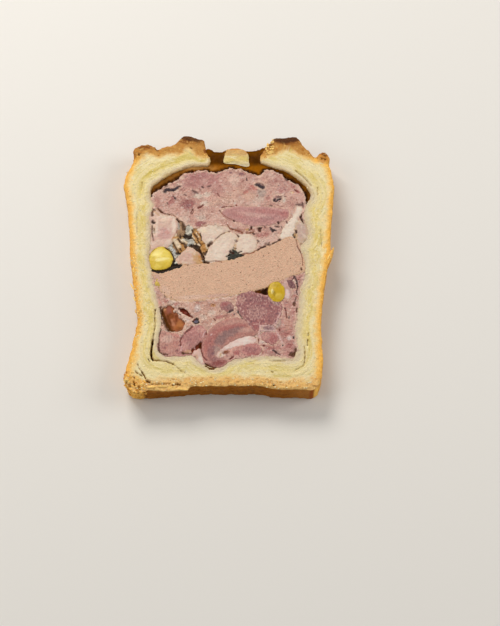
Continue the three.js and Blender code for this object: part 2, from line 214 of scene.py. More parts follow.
def course_reach(plan, course):
    """The distance from each point to a line of straight stretches."""
    nearest = np.full(len(plan), np.inf)
    for start, end in zip(course, course[1:]):
        start = np.array(start)
        stretch = np.array(end) - start
        share = np.clip((plan - start) @ stretch / (stretch @ stretch), 0.0, 1.0)
        nearest = np.minimum(nearest, np.linalg.norm(plan - start - share[:, None] * stretch, axis=1))
    return nearest


# Mesh work

# How far a normal points up: at most on upright faces, at least on faces that look up, and from none to all
# of the cut face
UPRIGHT = 0.5
LOOKS_UP = 0.7
CUT_FACING = (0.3, 0.8)
WHOLLY_CUT = 0.9
# How far a normal points sideways, from where a torn point moves towards the outline to where it
# follows its normal
STEEP = (0.2, 0.7)
TEAR_REACH = 2.0
TINY = 0.01
SMOOTHING_ROUNDS = 2
# The finished cut face of each node, for setting bits on it
CUT_POINTS = {}


def new_piece(name, mesh):
    piece = bpy.data.objects.new(name, mesh)
    bpy.context.scene.collection.objects.link(piece)
    return piece


def outline_of(shape):
    """Points along a solid's outline on its underside."""
    points = []
    for edge in shape.edges:
        start, end = (corner.co for corner in edge.verts)
        low = max(start.z, end.z) < WELD * MM
        if low and any(abs(face.normal.z) < UPRIGHT for face in edge.link_faces):
            steps = max(1, round(edge.calc_length() / (OUTLINE_STEP * MM)))
            points += [start.lerp(end, i / steps).to_2d() / MM - SHIFT for i in range(steps)]
    return np.array(points)


def places_of(node):
    """The places on the cut face of a solid's corners."""
    return np.array([corner.co.to_2d() / MM - SHIFT for corner in frame["nodes"][node].data.vertices])


def tree_of(plan):
    """A search tree over places on the cut face."""
    tree = KDTree(len(plan))
    for i, (x, y) in enumerate(plan.tolist()):
        tree.insert((x, y, 0.0), i)
    tree.balance()
    return tree


def nearest_on(outline, plan):
    """For each point the distance to an outline and the number of the nearest outline point."""
    tree = tree_of(outline)
    found = [tree.find((x, y, 0.0)) for x, y in plan.tolist()]
    return np.array([hit[2] for hit in found]), np.array([hit[1] for hit in found])


class Skin:
    """A solid's fine surface: its points in millimetres, their normals and the solid's outline."""

    def __init__(self, node, fine, overlap):
        self.node = node
        shape = bmesh.new()
        shape.from_mesh(frame["nodes"][node].data)
        bmesh.ops.remove_doubles(shape, verts=shape.verts, dist=WELD * MM)
        shape.normal_update()
        for corner in shape.verts:
            outward = corner.normal.to_2d()
            if outward.length > TINY:
                corner.co += outward.normalized().to_3d() * overlap * MM
        self.outline = outline_of(shape)
        mesh = bpy.data.meshes.new(node + "_shown")
        shape.to_mesh(mesh)
        shape.free()
        self.piece = new_piece(node + "_shown", mesh)
        self.remesh(fine)
        self.read()
        self.rim, self.rim_at = nearest_on(self.outline, self.plan)

    def remesh(self, fine):
        """An even fine mesh, twice as fine on the cut face, with its hard edges rounded off a little."""
        finer = self.piece.modifiers.new("fine", "REMESH")
        finer.mode = "VOXEL"
        finer.voxel_size = fine * MM
        seen = self.piece.evaluated_get(bpy.context.evaluated_depsgraph_get())
        mesh = bpy.data.meshes.new_from_object(seen)
        self.piece.modifiers.clear()
        shape = bmesh.new()
        shape.from_mesh(mesh)
        half_way = 0.5 * CUT_FACE * MM
        edges = set()
        for face in shape.faces:
            if face.normal.z > LOOKS_UP and face.calc_center_median().z > half_way:
                edges.update(face.edges)
        bmesh.ops.subdivide_edges(shape, edges=list(edges), cuts=1, use_grid_fill=True)
        axes = {"use_axis_x": True, "use_axis_y": True, "use_axis_z": True}
        for _ in range(SMOOTHING_ROUNDS):
            bmesh.ops.smooth_vert(shape, verts=shape.verts, factor=0.5, **axes)
        shape.to_mesh(mesh)
        shape.free()
        self.piece.data = mesh

    def read(self):
        mesh = self.piece.data
        count = len(mesh.vertices)
        place = np.empty(count * 3)
        mesh.vertices.foreach_get("co", place)
        self.points = place.reshape(-1, 3) / MM - np.array([SHIFT.x, SHIFT.y, 0.0])
        facing = np.empty(count * 3)
        mesh.vertices.foreach_get("normal", facing)
        self.facing = facing.reshape(-1, 3)
        self.plan = self.points[:, :2]
        self.on_top = step_up(*CUT_FACING, self.facing[:, 2])

    def swell(self, amount):
        """Moves each point along its normal."""
        self.points += self.facing * np.asarray(amount)[:, None]

    def tear(self, amount):
        """Moves the points near the outline sideways, for a ragged edge."""
        near = 1.0 - step_up(0.0, TEAR_REACH, self.rim)
        towards = (self.outline[self.rim_at] - self.plan) / np.maximum(self.rim, TINY)[:, None]
        flat = self.facing[:, :2]
        steep = np.linalg.norm(flat, axis=1)
        outward = blend(towards, flat / np.maximum(steep, TINY)[:, None], step_up(*STEEP, steep))
        self.plan += outward * (amount * near)[:, None]

    def lower(self, amount):
        """Lowers the points of the cut face."""
        self.points[:, 2] -= amount * self.on_top

    def write(self, material, slot, colour, **attributes):
        """Puts the points, colours and attributes into the mesh and ties the piece to the frame."""
        self.points[:, 2] = np.maximum(self.points[:, 2], 0.0)
        mesh = self.piece.data
        place = (self.points + np.array([SHIFT.x, SHIFT.y, 0.0])) * MM
        mesh.vertices.foreach_set("co", place.ravel())
        wash = mesh.attributes.new("wash", "FLOAT_COLOR", "POINT")
        wash.data.foreach_set("color", np.column_stack([colour, np.ones(len(colour))]).ravel())
        for name, values in attributes.items():
            kind, field = ("FLOAT_VECTOR", "vector") if np.ndim(values) == 2 else ("FLOAT", "value")
            mesh.attributes.new(name, kind, "POINT").data.foreach_set(field, values.ravel())
        mesh.shade_smooth()
        mesh.materials.clear()
        mesh.materials.append(material)
        mesh.update()
        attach(self.piece, "root")
        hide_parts(self.node)
        CUT_POINTS[self.node] = self.points[self.on_top > WHOLLY_CUT]


# The wobble of a wash's or stroke's line as a height and a size, its soft edge from full to none, how
# much of the texture under it a wash covers, and how far off a piece a stroke may start
WASH_WOBBLE = (0.3, 1.3)
WASH_EDGE = (0.6, 1.25)
WASH_COVER = 0.6
STROKE_WOBBLE = (0.35, 0.8)
STROKE_EDGE = (0.45, 1.35)
STROKE_MARGIN = 1.0


def washed(skin, base, washes, seed):
    """The base colour with soft oval washes over it, and how much of each point is painted."""
    colour = np.tile(base, (len(skin.points), 1))
    painted = np.zeros(len(skin.points))
    if washes:
        height, size = WASH_WOBBLE
        wobble = height * ripple(skin.points, size, seed)
    for x, y, long, wide, turn, over, strength in washes:
        reach = oval_reach(skin.plan, (x, y), (long, wide), turn) + wobble
        share = strength * (1.0 - step_up(*WASH_EDGE, reach))
        colour = blend(colour, over, share)
        painted = np.maximum(painted, WASH_COVER * share)
    return colour, painted


def stroked(skin, colour, painted, seed):
    """The strokes that cross this piece laid over its colours, with their grooves cut in."""
    low = skin.plan.min(axis=0) - STROKE_MARGIN
    high = skin.plan.max(axis=0) + STROKE_MARGIN
    height, size = STROKE_WOBBLE
    wobble = height * ripple(skin.points, size, seed)
    for over, strength, depth, lines in STROKES:
        for half, course in lines:
            inside = [low[0] < x < high[0] and low[1] < y < high[1] for x, y in course]
            if any(inside):
                reach = course_reach(skin.plan, course) / half + wobble
                share = 1.0 - step_up(*STROKE_EDGE, reach)
                colour = blend(colour, over, strength * share)
                painted = np.maximum(painted, share)
                skin.lower(depth * share)
    return colour, painted


# Materials


class Recipe:
    """A material in the making, with short ways to add its textures in millimetres."""

    def __init__(self, name):
        self.material = bpy.data.materials.new(name)
        self.material.use_nodes = True
        self.tree = self.material.node_tree
        self.shader = self.tree.nodes["Principled BSDF"]
        coordinates = self.add("ShaderNodeTexCoord").outputs["Object"]
        self.place = self.scaled(coordinates, (1 / MM, 1 / MM, 1 / MM))

    def add(self, kind, inputs=None, **settings):
        made = self.tree.nodes.new(kind)
        for name, value in settings.items():
            setattr(made, name, value)
        for name, value in (inputs or {}).items():
            self.put(made.inputs[name], value)
        return made

    def put(self, socket, value):
        if isinstance(value, bpy.types.NodeSocket):
            self.tree.links.new(value, socket)
        elif isinstance(value, np.ndarray):
            socket.default_value = (*value, 1.0)
        else:
            socket.default_value = value

    def scaled(self, source, scale):
        return self.add("ShaderNodeMapping", {"Vector": source, "Scale": scale}).outputs["Vector"]

    def attribute(self, name, output="Fac"):
        return self.add("ShaderNodeAttribute", attribute_name=name).outputs[output]

    def cloud(self, size, detail, source=None, distortion=0.0):
        inputs = {
            "Vector": source or self.place, "Scale": 1.0 / size, "Detail": detail, "Distortion": distortion,
        }
        return self.add("ShaderNodeTexNoise", inputs).outputs["Fac"]

    def warped(self, size, reach):
        """The place moved about by noise, for lumps with uneven outlines."""
        inputs = {"Vector": self.place, "Scale": 1.0 / size, "Detail": 2.0}
        wander = self.add("ShaderNodeTexNoise", inputs).outputs["Color"]
        centred = self.add("ShaderNodeVectorMath", {0: wander, 1: (0.5, 0.5, 0.5)}, operation="SUBTRACT")
        drift = self.add("ShaderNodeVectorMath", {0: centred.outputs[0], "Scale": reach}, operation="SCALE")
        moved = self.add("ShaderNodeVectorMath", {0: self.place, 1: drift.outputs[0]}, operation="ADD")
        return moved.outputs[0]

    def cells(self, size, source=None):
        return self.add("ShaderNodeTexVoronoi", {"Vector": source or self.place, "Scale": 1.0 / size})

    def chance(self, cells, channel):
        """A value by chance for each cell, from one channel of the cells' colours."""
        return self.add("ShaderNodeSeparateColor", {"Color": cells.outputs["Color"]}).outputs[channel]

    def rise(self, value, limits, shares):
        """A smooth change from one share to another between two limits of a value."""
        names = ("From Min", "From Max", "To Min", "To Max")
        inputs = {"Value": value, **dict(zip(names, (*limits, *shares)))}
        return self.add("ShaderNodeMapRange", inputs, interpolation_type="SMOOTHSTEP").outputs["Result"]

    def times(self, first, second):
        return self.add("ShaderNodeMath", {0: first, 1: second}, operation="MULTIPLY").outputs[0]

    def plus(self, first, second):
        return self.add("ShaderNodeMath", {0: first, 1: second}, operation="ADD").outputs[0]

    def mix(self, share, under, over, how="MIX"):
        inputs = {0: share, 6: under, 7: over}
        made = self.add("ShaderNodeMix", inputs, data_type="RGBA", blend_type=how, clamp_factor=True)
        return made.outputs[2]

    def lay(self, under, over, texture, limits, shares, where=None):
        """A colour laid over another by a texture, and only as far as a second value lets it."""
        share = self.rise(texture, limits, shares)
        if where is not None:
            share = self.times(where, share)
        return self.mix(share, under, over)

    def shaded(self, colour, texture, dark, light):
        """The colour made darker or lighter by a texture from 0 to 1."""
        grey = self.add("ShaderNodeCombineXYZ")
        level = self.rise(texture, (0.25, 0.75), (dark, light))
        for axis in range(3):
            self.put(grey.inputs[axis], level)
        return self.mix(1.0, colour, grey.outputs[0], "MULTIPLY")

    def bump(self, height, depth):
        bump = self.add("ShaderNodeBump", {"Height": height, "Distance": depth * MM})
        self.put(self.shader.inputs["Normal"], bump.outputs["Normal"])

    def glow(self, weight, reach, tint):
        """Light that goes a little way into the food."""
        self.put(self.shader.inputs["Subsurface Weight"], weight)
        self.put(self.shader.inputs["Subsurface Scale"], reach * MM)
        self.put(self.shader.inputs["Subsurface Radius"], tint)

    def finish(self, colour, roughness, shine, coat=None):
        """The finished material. A moist coat has a weight and a roughness."""
        values = {"Base Color": colour, "Roughness": roughness, "Specular IOR Level": shine}
        if coat:
            values["Coat Weight"], values["Coat Roughness"] = coat
        for name, value in values.items():
            self.put(self.shader.inputs[name], value)
        return self.material


# Each recipe below gives the sizes of its textures in millimetres, the limits between which a texture's
# value brings in a colour, and the share of that colour at each limit

MEAT_GLOW = (1.0, 0.45, 0.35)
DOUGH_GLOW = (1.0, 0.75, 0.4)
NUT_GLOW = (1.0, 0.8, 0.25)


def baked_dough():
    """Yellow flaky crumb with broken layers along the wall, under a golden skin with darker freckles."""
    make = Recipe("baked_dough")
    wash = make.attribute("wash", "Color")
    grain = make.attribute("grain", "Vector")
    crumb = make.attribute("crumb")
    crack_shade = make.attribute("crevice")
    skin = make.times(make.rise(crumb, (0.0, 1.0), (1.0, 0.0)), make.attribute("freckled"))
    layers = make.cloud(1.0, 4.0, make.scaled(grain, (0.55, 0.24, 0.3)), 0.5)
    flakes = make.cloud(1.0, 3.0, make.scaled(grain, (1.5, 0.7, 0.8)), 0.4)
    grains = make.cloud(0.5, 4.0)
    freckle = make.cloud(1.5, 4.0)
    streaks = make.cloud(1.0, 3.0, make.scaled(grain, (1.3, 0.45, 0.5)), 0.6)
    pore = make.cells(1.4)
    colour = make.lay(wash, CRUMB_CREAM, layers, (0.5, 0.64), (0.0, 0.65), crumb)
    colour = make.lay(colour, CRUMB_OLIVE, layers, (0.34, 0.48), (0.45, 0.0), crumb)
    colour = make.lay(colour, CRUMB_CREAM, streaks, (0.56, 0.68), (0.0, 0.7), crumb)
    colour = make.lay(colour, CRUMB_OLIVE, streaks, (0.32, 0.42), (0.5, 0.0), crumb)
    colour = make.lay(colour, SKIN_TOAST, freckle, (0.5, 0.68), (0.0, 0.5), skin)
    colour = make.lay(colour, SKIN_GLOW, freckle, (0.34, 0.46), (0.35, 0.0), skin)
    # A few pores are darkened towards toast: painted shade in holes that exist only in the bump
    chosen = make.rise(make.chance(pore, "Red"), (0.78, 0.82), (0.0, 1.0))
    hole = make.times(make.rise(pore.outputs["Distance"], (0.08, 0.2), (0.4, 0.0)), chosen)
    colour = make.mix(hole, colour, SKIN_TOAST)
    colour = make.shaded(colour, flakes, dark=0.95, light=1.04)
    colour = make.shaded(colour, grains, dark=0.93, light=1.06)
    # Painted shade in the cracks and hollows of the dough
    colour = make.lay(colour, CRACK_SHADE_BROWN, crack_shade, (0.0, 0.6), (0.0, 1.0))
    colour = make.lay(colour, CRACK_SHADE_DEEP, crack_shade, (0.5, 1.0), (0.0, 1.0))
    height = make.plus(make.times(flakes, 0.6), make.times(grains, 0.8))
    make.bump(make.plus(height, make.times(hole, -0.6)), depth=0.35)
    make.glow(weight=0.1, reach=1.2, tint=DOUGH_GLOW)
    return make.finish(colour, roughness=0.72, shine=0.15)


def set_jelly():
    """Dark jelly with soft clouds."""
    make = Recipe("set_jelly")
    colour = make.shaded(make.attribute("wash", "Color"), make.cloud(2.4, 4.0), dark=0.7, light=1.25)
    make.bump(make.cloud(1.4, 3.0), depth=0.16)
    return make.finish(colour, roughness=0.4, shine=0.02)


def chopped_meat():
    """Coarse pink forcemeat: lean and fat lumps, fine grain and small red flecks."""
    make = Recipe("chopped_meat")
    wash = make.attribute("wash", "Color")
    bare = make.rise(make.attribute("painted"), (0.0, 1.0), (1.0, 0.1))
    wander = make.warped(1.4, 1.6)
    chunk = make.cells(2.1, wander)
    small = make.cells(0.8, wander)
    mottle = make.cloud(2.2, 4.0)
    marble = make.cloud(1.1, 4.0, wander)
    grain = make.cloud(0.4, 4.0)
    colour = make.lay(wash, LEAN, mottle, (0.54, 0.68), (0.0, 0.32), bare)
    colour = make.lay(colour, PALE_PINK, mottle, (0.34, 0.46), (0.36, 0.0), bare)
    colour = make.lay(colour, LEAN, make.chance(chunk, "Red"), (0.76, 0.86), (0.0, 0.24), bare)
    colour = make.lay(colour, PALE_PINK, marble, (0.55, 0.66), (0.0, 0.5), bare)
    colour = make.lay(colour, LEAN, marble, (0.32, 0.42), (0.34, 0.0), bare)
    colour = make.lay(colour, FAT_WHITE, make.chance(small, "Red"), (0.88, 0.93), (0.0, 0.35), bare)
    colour = make.lay(colour, RED, make.chance(small, "Blue"), (0.92, 0.95), (0.0, 0.35), bare)
    colour = make.shaded(colour, grain, dark=0.92, light=1.07)
    # Painted shade in deep red in the seams between the lumps
    colour = make.mix(make.attribute("crevice"), colour, DEEP_RED)
    make.bump(make.plus(grain, make.times(small.outputs["Distance"], 0.7)), depth=0.28)
    make.glow(weight=0.1, reach=1.0, tint=MEAT_GLOW)
    return make.finish(colour, roughness=0.5, shine=0.24)


def whole_muscle():
    """Lean meat cut across its fibres: short pale and dark strokes, stronger where fibres stand open."""
    make = Recipe("whole_muscle")
    wash = make.attribute("wash", "Color")
    open_fibre = make.attribute("fibre")
    wander = make.warped(1.2, 0.9)
    stretched = make.scaled(wander, (1.4, 0.8, 0.8))
    strokes = make.cloud(0.85, 3.0, stretched)
    bundle = make.cells(0.7, stretched)
    strand = make.cloud(0.4, 4.0, stretched)
    broad = make.cloud(3.5, 3.0)
    colour = make.lay(wash, ROSE, strokes, (0.53, 0.66), (0.0, 0.9), open_fibre)
    colour = make.lay(colour, VIOLET, strokes, (0.34, 0.47), (0.95, 0.0), open_fibre)
    colour = make.shaded(colour, make.chance(bundle, "Red"), dark=0.93, light=1.06)
    colour = make.shaded(colour, strand, dark=0.91, light=1.08)
    colour = make.shaded(colour, broad, dark=0.95, light=1.05)
    make.bump(make.plus(strand, make.times(strokes, 0.8)), depth=0.2)
    make.glow(weight=0.1, reach=1.0, tint=MEAT_GLOW)
    return make.finish(colour, roughness=0.46, shine=0.22)


def pale_poultry():
    """Cream cooked breast with faint rose clouds and fine fibres."""
    make = Recipe("pale_poultry")
    wash = make.attribute("wash", "Color")
    fibre = make.cloud(0.7, 4.0, make.scaled(make.place, (0.5, 1.0, 1.0)), 0.6)
    broad = make.cloud(2.0, 4.0)
    colour = make.lay(wash, ROSE, broad, (0.52, 0.68), (0.0, 0.4))
    colour = make.lay(colour, LINEN, broad, (0.34, 0.46), (0.4, 0.0))
    colour = make.shaded(colour, fibre, dark=0.94, light=1.05)
    make.bump(make.plus(fibre, make.times(broad, 0.6)), depth=0.2)
    make.glow(weight=0.15, reach=1.2, tint=MEAT_GLOW)
    return make.finish(colour, roughness=0.48, shine=0.32, coat=(0.05, 0.25))


def liver_mousse():
    """Smooth mousse with pin holes and fine spice."""
    make = Recipe("liver_mousse_cut")
    wash = make.attribute("wash", "Color")
    grain = make.cloud(0.45, 4.0)
    broad = make.cloud(5.0, 3.0)
    spice = make.cells(1.2)
    dark_dot = make.rise(spice.outputs["Distance"], (0.12, 0.25), (0.85, 0.0))
    pale_dot = make.rise(spice.outputs["Distance"], (0.12, 0.24), (0.7, 0.0))
    colour = make.shaded(wash, broad, dark=0.965, light=1.03)
    colour = make.shaded(colour, grain, dark=0.88, light=1.1)
    colour = make.lay(colour, SPICE, make.chance(spice, "Red"), (0.76, 0.8), (0.0, 1.0), dark_dot)
    colour = make.lay(colour, MOUSSE_DOT, make.chance(spice, "Green"), (0.74, 0.78), (0.0, 1.0), pale_dot)
    make.bump(make.plus(grain, make.times(dark_dot, -0.5)), depth=0.42)
    make.glow(weight=0.1, reach=1.0, tint=MEAT_GLOW)
    return make.finish(colour, roughness=0.55, shine=0.3)


def white_fat():
    """Smooth white fat with faint rose clouds."""
    make = Recipe("white_fat")
    wash = make.attribute("wash", "Color")
    cloudy = make.cloud(1.2, 4.0)
    colour = make.lay(wash, ROSE, cloudy, (0.52, 0.66), (0.0, 0.4))
    colour = make.shaded(colour, cloudy, dark=0.95, light=1.04)
    make.bump(cloudy, depth=0.14)
    make.glow(weight=0.2, reach=1.2, tint=MEAT_GLOW)
    return make.finish(colour, roughness=0.44, shine=0.32, coat=(0.06, 0.2))


def pistachio_kernel():
    """A smooth kernel with faint veins."""
    make = Recipe("pistachio_kernel")
    wash = make.attribute("wash", "Color")
    vein = make.cloud(2.2, 4.0, make.scaled(make.place, (0.6, 1.2, 1.0)), 1.2)
    colour = make.shaded(wash, vein, dark=0.94, light=1.04)
    make.bump(make.plus(make.cloud(1.0, 3.0), make.times(vein, 0.6)), depth=0.12)
    make.glow(weight=0.2, reach=1.2, tint=NUT_GLOW)
    return make.finish(colour, roughness=0.42, shine=0.3)


def stewed_mushroom():
    """Wrinkled mushroom flesh with brown folds."""
    make = Recipe("stewed_mushroom")
    wash = make.attribute("wash", "Color")
    fold = make.cloud(1.1, 4.0, make.place, 1.6)
    colour = make.lay(wash, BARK, fold, (0.36, 0.46), (0.45, 0.0))
    colour = make.shaded(colour, make.cloud(0.5, 3.0), dark=0.86, light=1.12)
    make.bump(fold, depth=0.4)
    return make.finish(colour, roughness=0.45, shine=0.3)


def black_truffle():
    """Near black flesh with a few grey veins."""
    make = Recipe("black_truffle")
    wash = make.attribute("wash", "Color")
    vein = make.cloud(0.9, 4.0, make.place, 1.8)
    colour = make.lay(wash, TRUFFLE_VEIN, vein, (0.58, 0.74), (0.0, 0.25))
    colour = make.shaded(colour, make.cloud(0.6, 3.0), dark=0.75, light=1.3)
    make.bump(vein, depth=0.3)
    return make.finish(colour, roughness=0.5, shine=0.18)


FINISH = {
    "dough": baked_dough(),
    "jelly": set_jelly(),
    "forcemeat": chopped_meat(),
    "muscle": whole_muscle(),
    "poultry": pale_poultry(),
    "mousse": liver_mousse(),
    "fat": white_fat(),
    "pistachio": pistachio_kernel(),
    "mushroom": stewed_mushroom(),
    "truffle": black_truffle(),
}

# The crust

# Cracks in the dough, darkened with painted shade: half width, depth, darkness and course
DOUGH_CRACKS = [
    (0.32, 0.9, 0.38, [(-27.5, -21.5), (-27.7, -24.5), (-27.4, -28), (-27.9, -32), (-28.2, -34)]),
    (0.5, 3.0, 0.9, [(-28.2, -34), (-28.6, -38), (-28.5, -40.6), (-27.8, -41.9)]),
    # A painted shadow under the curled muscle, cut as a shallow crack
    (0.5, 0.8, 0.75, [(-8.2, -44.2), (-6.8, -45.2), (-5.2, -45.4)]),
    (0.38, 0.9, 0.5, [(-27.4, -42), (-25, -42.2), (-23, -42.3), (-21.6, -43), (-20.2, -43.6)]),
    (0.32, 0.5, 0.3, [(-20.2, -43.6), (-18.8, -44.6), (-17.2, -46.4), (-15.5, -47)]),
    (0.28, 0.6, 0.6, [(-33.5, -43.4), (-33, -45), (-31.8, -46.6)]),
    (0.38, 0.9, 0.7, [(-31.8, -46.6), (-30.9, -48), (-30.3, -49.2)]),
    (0.32, 0.7, 0.6, [(-34.2, -46.2), (-33.4, -47.2), (-31.6, -48.2)]),
    (0.6, 1.6, 0.6, [(-29.9, -50.1), (-28.7, -50.7)]),
    (0.3, 0.6, 0.34, [(-28.2, -51.5), (-25, -51.4), (-21.4, -51.2)]),
    (0.45, 1.0, 0.5, [(-20.2, -51.8), (-18.8, -51.4), (-17.6, -51.6)]),
    (0.36, 0.7, 0.45, [(-29.6, -41.6), (-29, -42.6)]),
    (0.45, 1.2, 0.55, [(-34.6, -48.7), (-34.4, -49.1)]),
    (0.5, 1.5, 0.55, [(-34.7, -50.4), (-34.2, -52)]),
    (0.45, 1.3, 0.5, [(-32.8, -52.4), (-32.3, -53.6)]),
    (0.3, 0.6, 0.36, [(28.5, -36.6), (28.8, -39.5), (28.6, -42), (28.2, -44.2)]),
    (0.28, 0.4, 0.25, [(28.2, -44.2), (26.8, -45), (25, -46)]),
    (0.4, 0.7, 0.4, [(29.9, -33.9), (29.6, -36)]),
    (0.36, 0.6, 0.35, [(30.1, -31.2), (30.1, -32.2)]),
    (0.4, 0.5, 0.35, [(16.3, -46.6), (16.8, -46.8)]),
    (0.5, 1.2, 0.6, [(16.7, -51.7), (17.3, -51.9)]),
    (0.32, 0.3, 0.25, [(15.4, -42.3), (19.5, -42.4), (24, -42)]),
    (0.32, 0.6, 0.3, [(26.3, 38.4), (28, 36.6), (30, 34.8), (32.4, 31.6)]),
    (0.32, 0.6, 0.32, [(34.9, 30.8), (34.8, 27.6)]),
    (0.45, 1.4, 0.7, [(16.4, 49.2), (16.7, 49.8)]),
    (0.45, 0.9, 0.6, [(-36.1, 46), (-35.9, 45.4)]),
    (0.45, 0.8, 0.5, [(-15.4, 48.6), (-14.8, 48.2)]),
    (0.5, 0.8, 0.55, [(-29.2, 48.2), (-28.4, 47.6)]),
    (0.5, 0.8, 0.55, [(36.6, 43.8), (38.2, 43.4)]),
    (0.4, 0.6, 0.5, [(37.6, 45.2), (38.4, 44.6)]),
    (0.35, 0.4, 0.25, [(35.6, 12), (35.9, 5)]),
    (0.3, 0.35, 0.2, [(-35.9, 20), (-35.4, 10)]),
    (0.35, 0.4, 0.25, [(-34.2, 33), (-34.4, 29.6)]),
]

# Baked, golden and pale places on the crust: x, y, half sizes, turn, colour and strength
BAKED_PLACES = [
    (-15.6, 51, 7.2, 3.0, -14, LID_TOAST, 0.9),
    (-14.6, 51.6, 6, 1.7, -14, LID_BROWN, 0.7),
    (-18.6, 52.4, 3.6, 1.9, -18, SKIN_BROWN, 0.85),
    (-15.2, 53, 6.8, 1.7, -14, SKIN_DARK, 0.88),
    (23.4, 49.8, 7.6, 2.8, 4, LID_TOAST, 0.95),
    (25.6, 50.6, 4.4, 1.6, 0, LID_BROWN, 0.85),
    (22.8, 51.9, 6.6, 2.4, 4, SKIN_BROWN, 0.8),
    (22.8, 52.7, 6.6, 2.3, 4, SKIN_DARK, 0.98),
    (31.4, 47.2, 4.6, 1.7, -42, LID_TOAST, 0.8),
    (-34, 48.6, 5.2, 3.2, 6, LID_TOAST, 0.9),
    (-34.4, 48.8, 3.6, 1.8, 6, LID_BROWN, 0.8),
    (-33.4, 49.8, 4.6, 1.9, 4, SKIN_BROWN, 0.9),
    (-25, 48.6, 6.5, 2.4, 12, LID_TOAST, 0.75),
    (37.6, 44, 2.6, 3.0, -20, SKIN_TOAST, 0.85),
    (37.8, 46, 2.0, 1.2, -20, SKIN_BROWN, 0.9),
    (-9.4, 47.2, 0.9, 1.2, 30, SKIN_BROWN, 0.75),
    (34.2, -48.5, 1.6, 3.4, 0, SKIN_GOLD, 0.6),
    (-33.6, -50.6, 2.2, 3.4, 20, SKIN_GOLD, 0.75),
    (36.2, 1.6, 0.5, 1.8, -24, CRUMB_PALE, 0.6),
    (37.4, 3.2, 0.4, 1.4, -10, CRUMB_PALE, 0.6),
]
# Where the lid's strips stand higher: x, how far to each side and how much
STRIP_RISE = [(-17.6, 5.5, 0.6), (-11.5, 3.5, 0.3), (17.0, 5.5, 0.9), (24.5, 4.5, 0.35)]
STRIP_TOPS = (46.5, 51.0)
# The flake on the right wall
FLAKE_FOOT = 1.4
FLAKE_NOTCH = (38.9, 2.2)
FLAKE_TIP = (40.7, 6.0)
FLAKE_LEAST = 0.15

# Colours by depth under the outside, as shares of the baked skin's thickness
WALL_BAND = [(0.0, SKIN_GOLD), (0.25, SKIN_GOLD), (0.7, SKIN_GLOW)]
LID_BAND = [(0.0, SKIN_BROWN), (0.28, LID_TOAST), (0.6, LID_TOAST), (1.1, SKIN_TAN)]
FOOT_BAND = [(0.0, FOOT_GLOW), (0.4, FOOT_TAN)]
OUTER_SKIN = (0.2, 0.55)
# Colours by share of the way from the filling to the outside
CRUMB_BAND = [(0.04, CRUMB_IVORY), (0.26, CRUMB_YELLOW), (0.5, CRUMB_YELLOW), (0.72, CRUMB_CREAM)]
OLIVE_LAYER = ((0.24, 0.34), (0.42, 0.54))
# Colours of the plug by height
PLUG_BAND = [
    (40.6, CRUMB_IVORY), (43.2, PLUG_CRUMB), (43.8, PLUG_CRUMB),
    (46, PLUG_TAN), (47, PLUG_TAN), (48.4, SKIN_TOAST),
]
PLUG_BAKED = (44.0, 46.4)

# The baked skin's thickness on the walls, what the lid, the foot and the walls' lower part add, and
# what the chimney takes off
WALL_THICK = 2.9
LID_MORE = 1.9
FOOT_MORE = 1.4
LOW_WALL_MORE = 0.6
CHIMNEY_LESS = 2.4

# Zones along x and y, each from where it starts to where it is full
LID = (41.0, 47.0)
FOOT = (-45.5, -50.5)
FOOT_FRONT = (-46.0, -50.0)
LOW_WALL = (-30.0, -42.0)
RIGHT_WALL = (22.0, 34.0)
CHIMNEY = (8.0, 15.0)
CREAM_LID = (24.0, 36.0)
CREAM_FOOT = (-40.0, -44.0)
CRUMBLY_LID = (42.0, 48.0)
CRUMBLY_FOOT = (-44.0, -51.0)
BROKEN_CORNER = ((-27.0, -33.0), (-42.0, -47.0))
TORN_WALL = ((-30.0, -33.0), (4.0, -4.0), (-36.0, -30.0))
BY_JELLY = (26.0, 29.0)
UNDER_LID = (22.0, 27.0)
# How far a normal points up, from all to none of a side, and forward, from none to all of the foot's front
SIDE_FACING = (0.2, 0.7)
FRONT_FACING = (0.3, 0.8)

# Relief in millimetres: how far the crust overlaps the filling, the filling's reach, and heights
DOUGH_OVERLAP = 0.05
PLUG_OVERLAP = 0.15
FILLING_REACH = 1.0
INNER_TEAR = 0.4
GRAIN_STRETCH = np.array([0.8, 0.25, 0.4])
GRAIN_HEIGHT = 0.12
CRUMBLE_HEIGHT = 0.16
EDGE_DROP = 0.25
PLUG_DROP = 0.35
CRACK_WANDER = 0.2


def ramp(value, tones):
    """Colours that follow one another as a value grows, each a value and a colour."""
    colour = np.tile(tones[0][1], (len(value), 1))
    for (low, _), (high, over) in zip(tones, tones[1:]):
        colour = blend(colour, over, step_up(low, high, value))
    return colour


def filling_outline():
    """Points round the whole filling, for telling the crust's inside from its baked outside."""
    return np.concatenate([places_of(node) for node in frame["nodes"] if node not in ("crust", "lid_plug")])


def foot_front(skin):
    """How much each point belongs to the browned front of the foot."""
    return step_up(*FRONT_FACING, -skin.facing[:, 1]) * step_up(*FOOT_FRONT, skin.plan[:, 1])


def torn_wall(skin):
    """How rough the left wall's edge is, where its skin has come away."""
    x, y = skin.plan.T
    across, top, end = TORN_WALL
    return step_up(*across, x) * step_up(*top, y) * step_up(*end, y)


def ivory_share(skin, inner, broad):
    """How ivory and smooth the dough is: most by the filling, and wider on the right."""
    wider = 1.0 + 0.4 * step_up(10.0, 24.0, skin.plan[:, 0])
    return 1.0 - step_up(0.8, 2.8, inner / wider + 0.6 * broad)


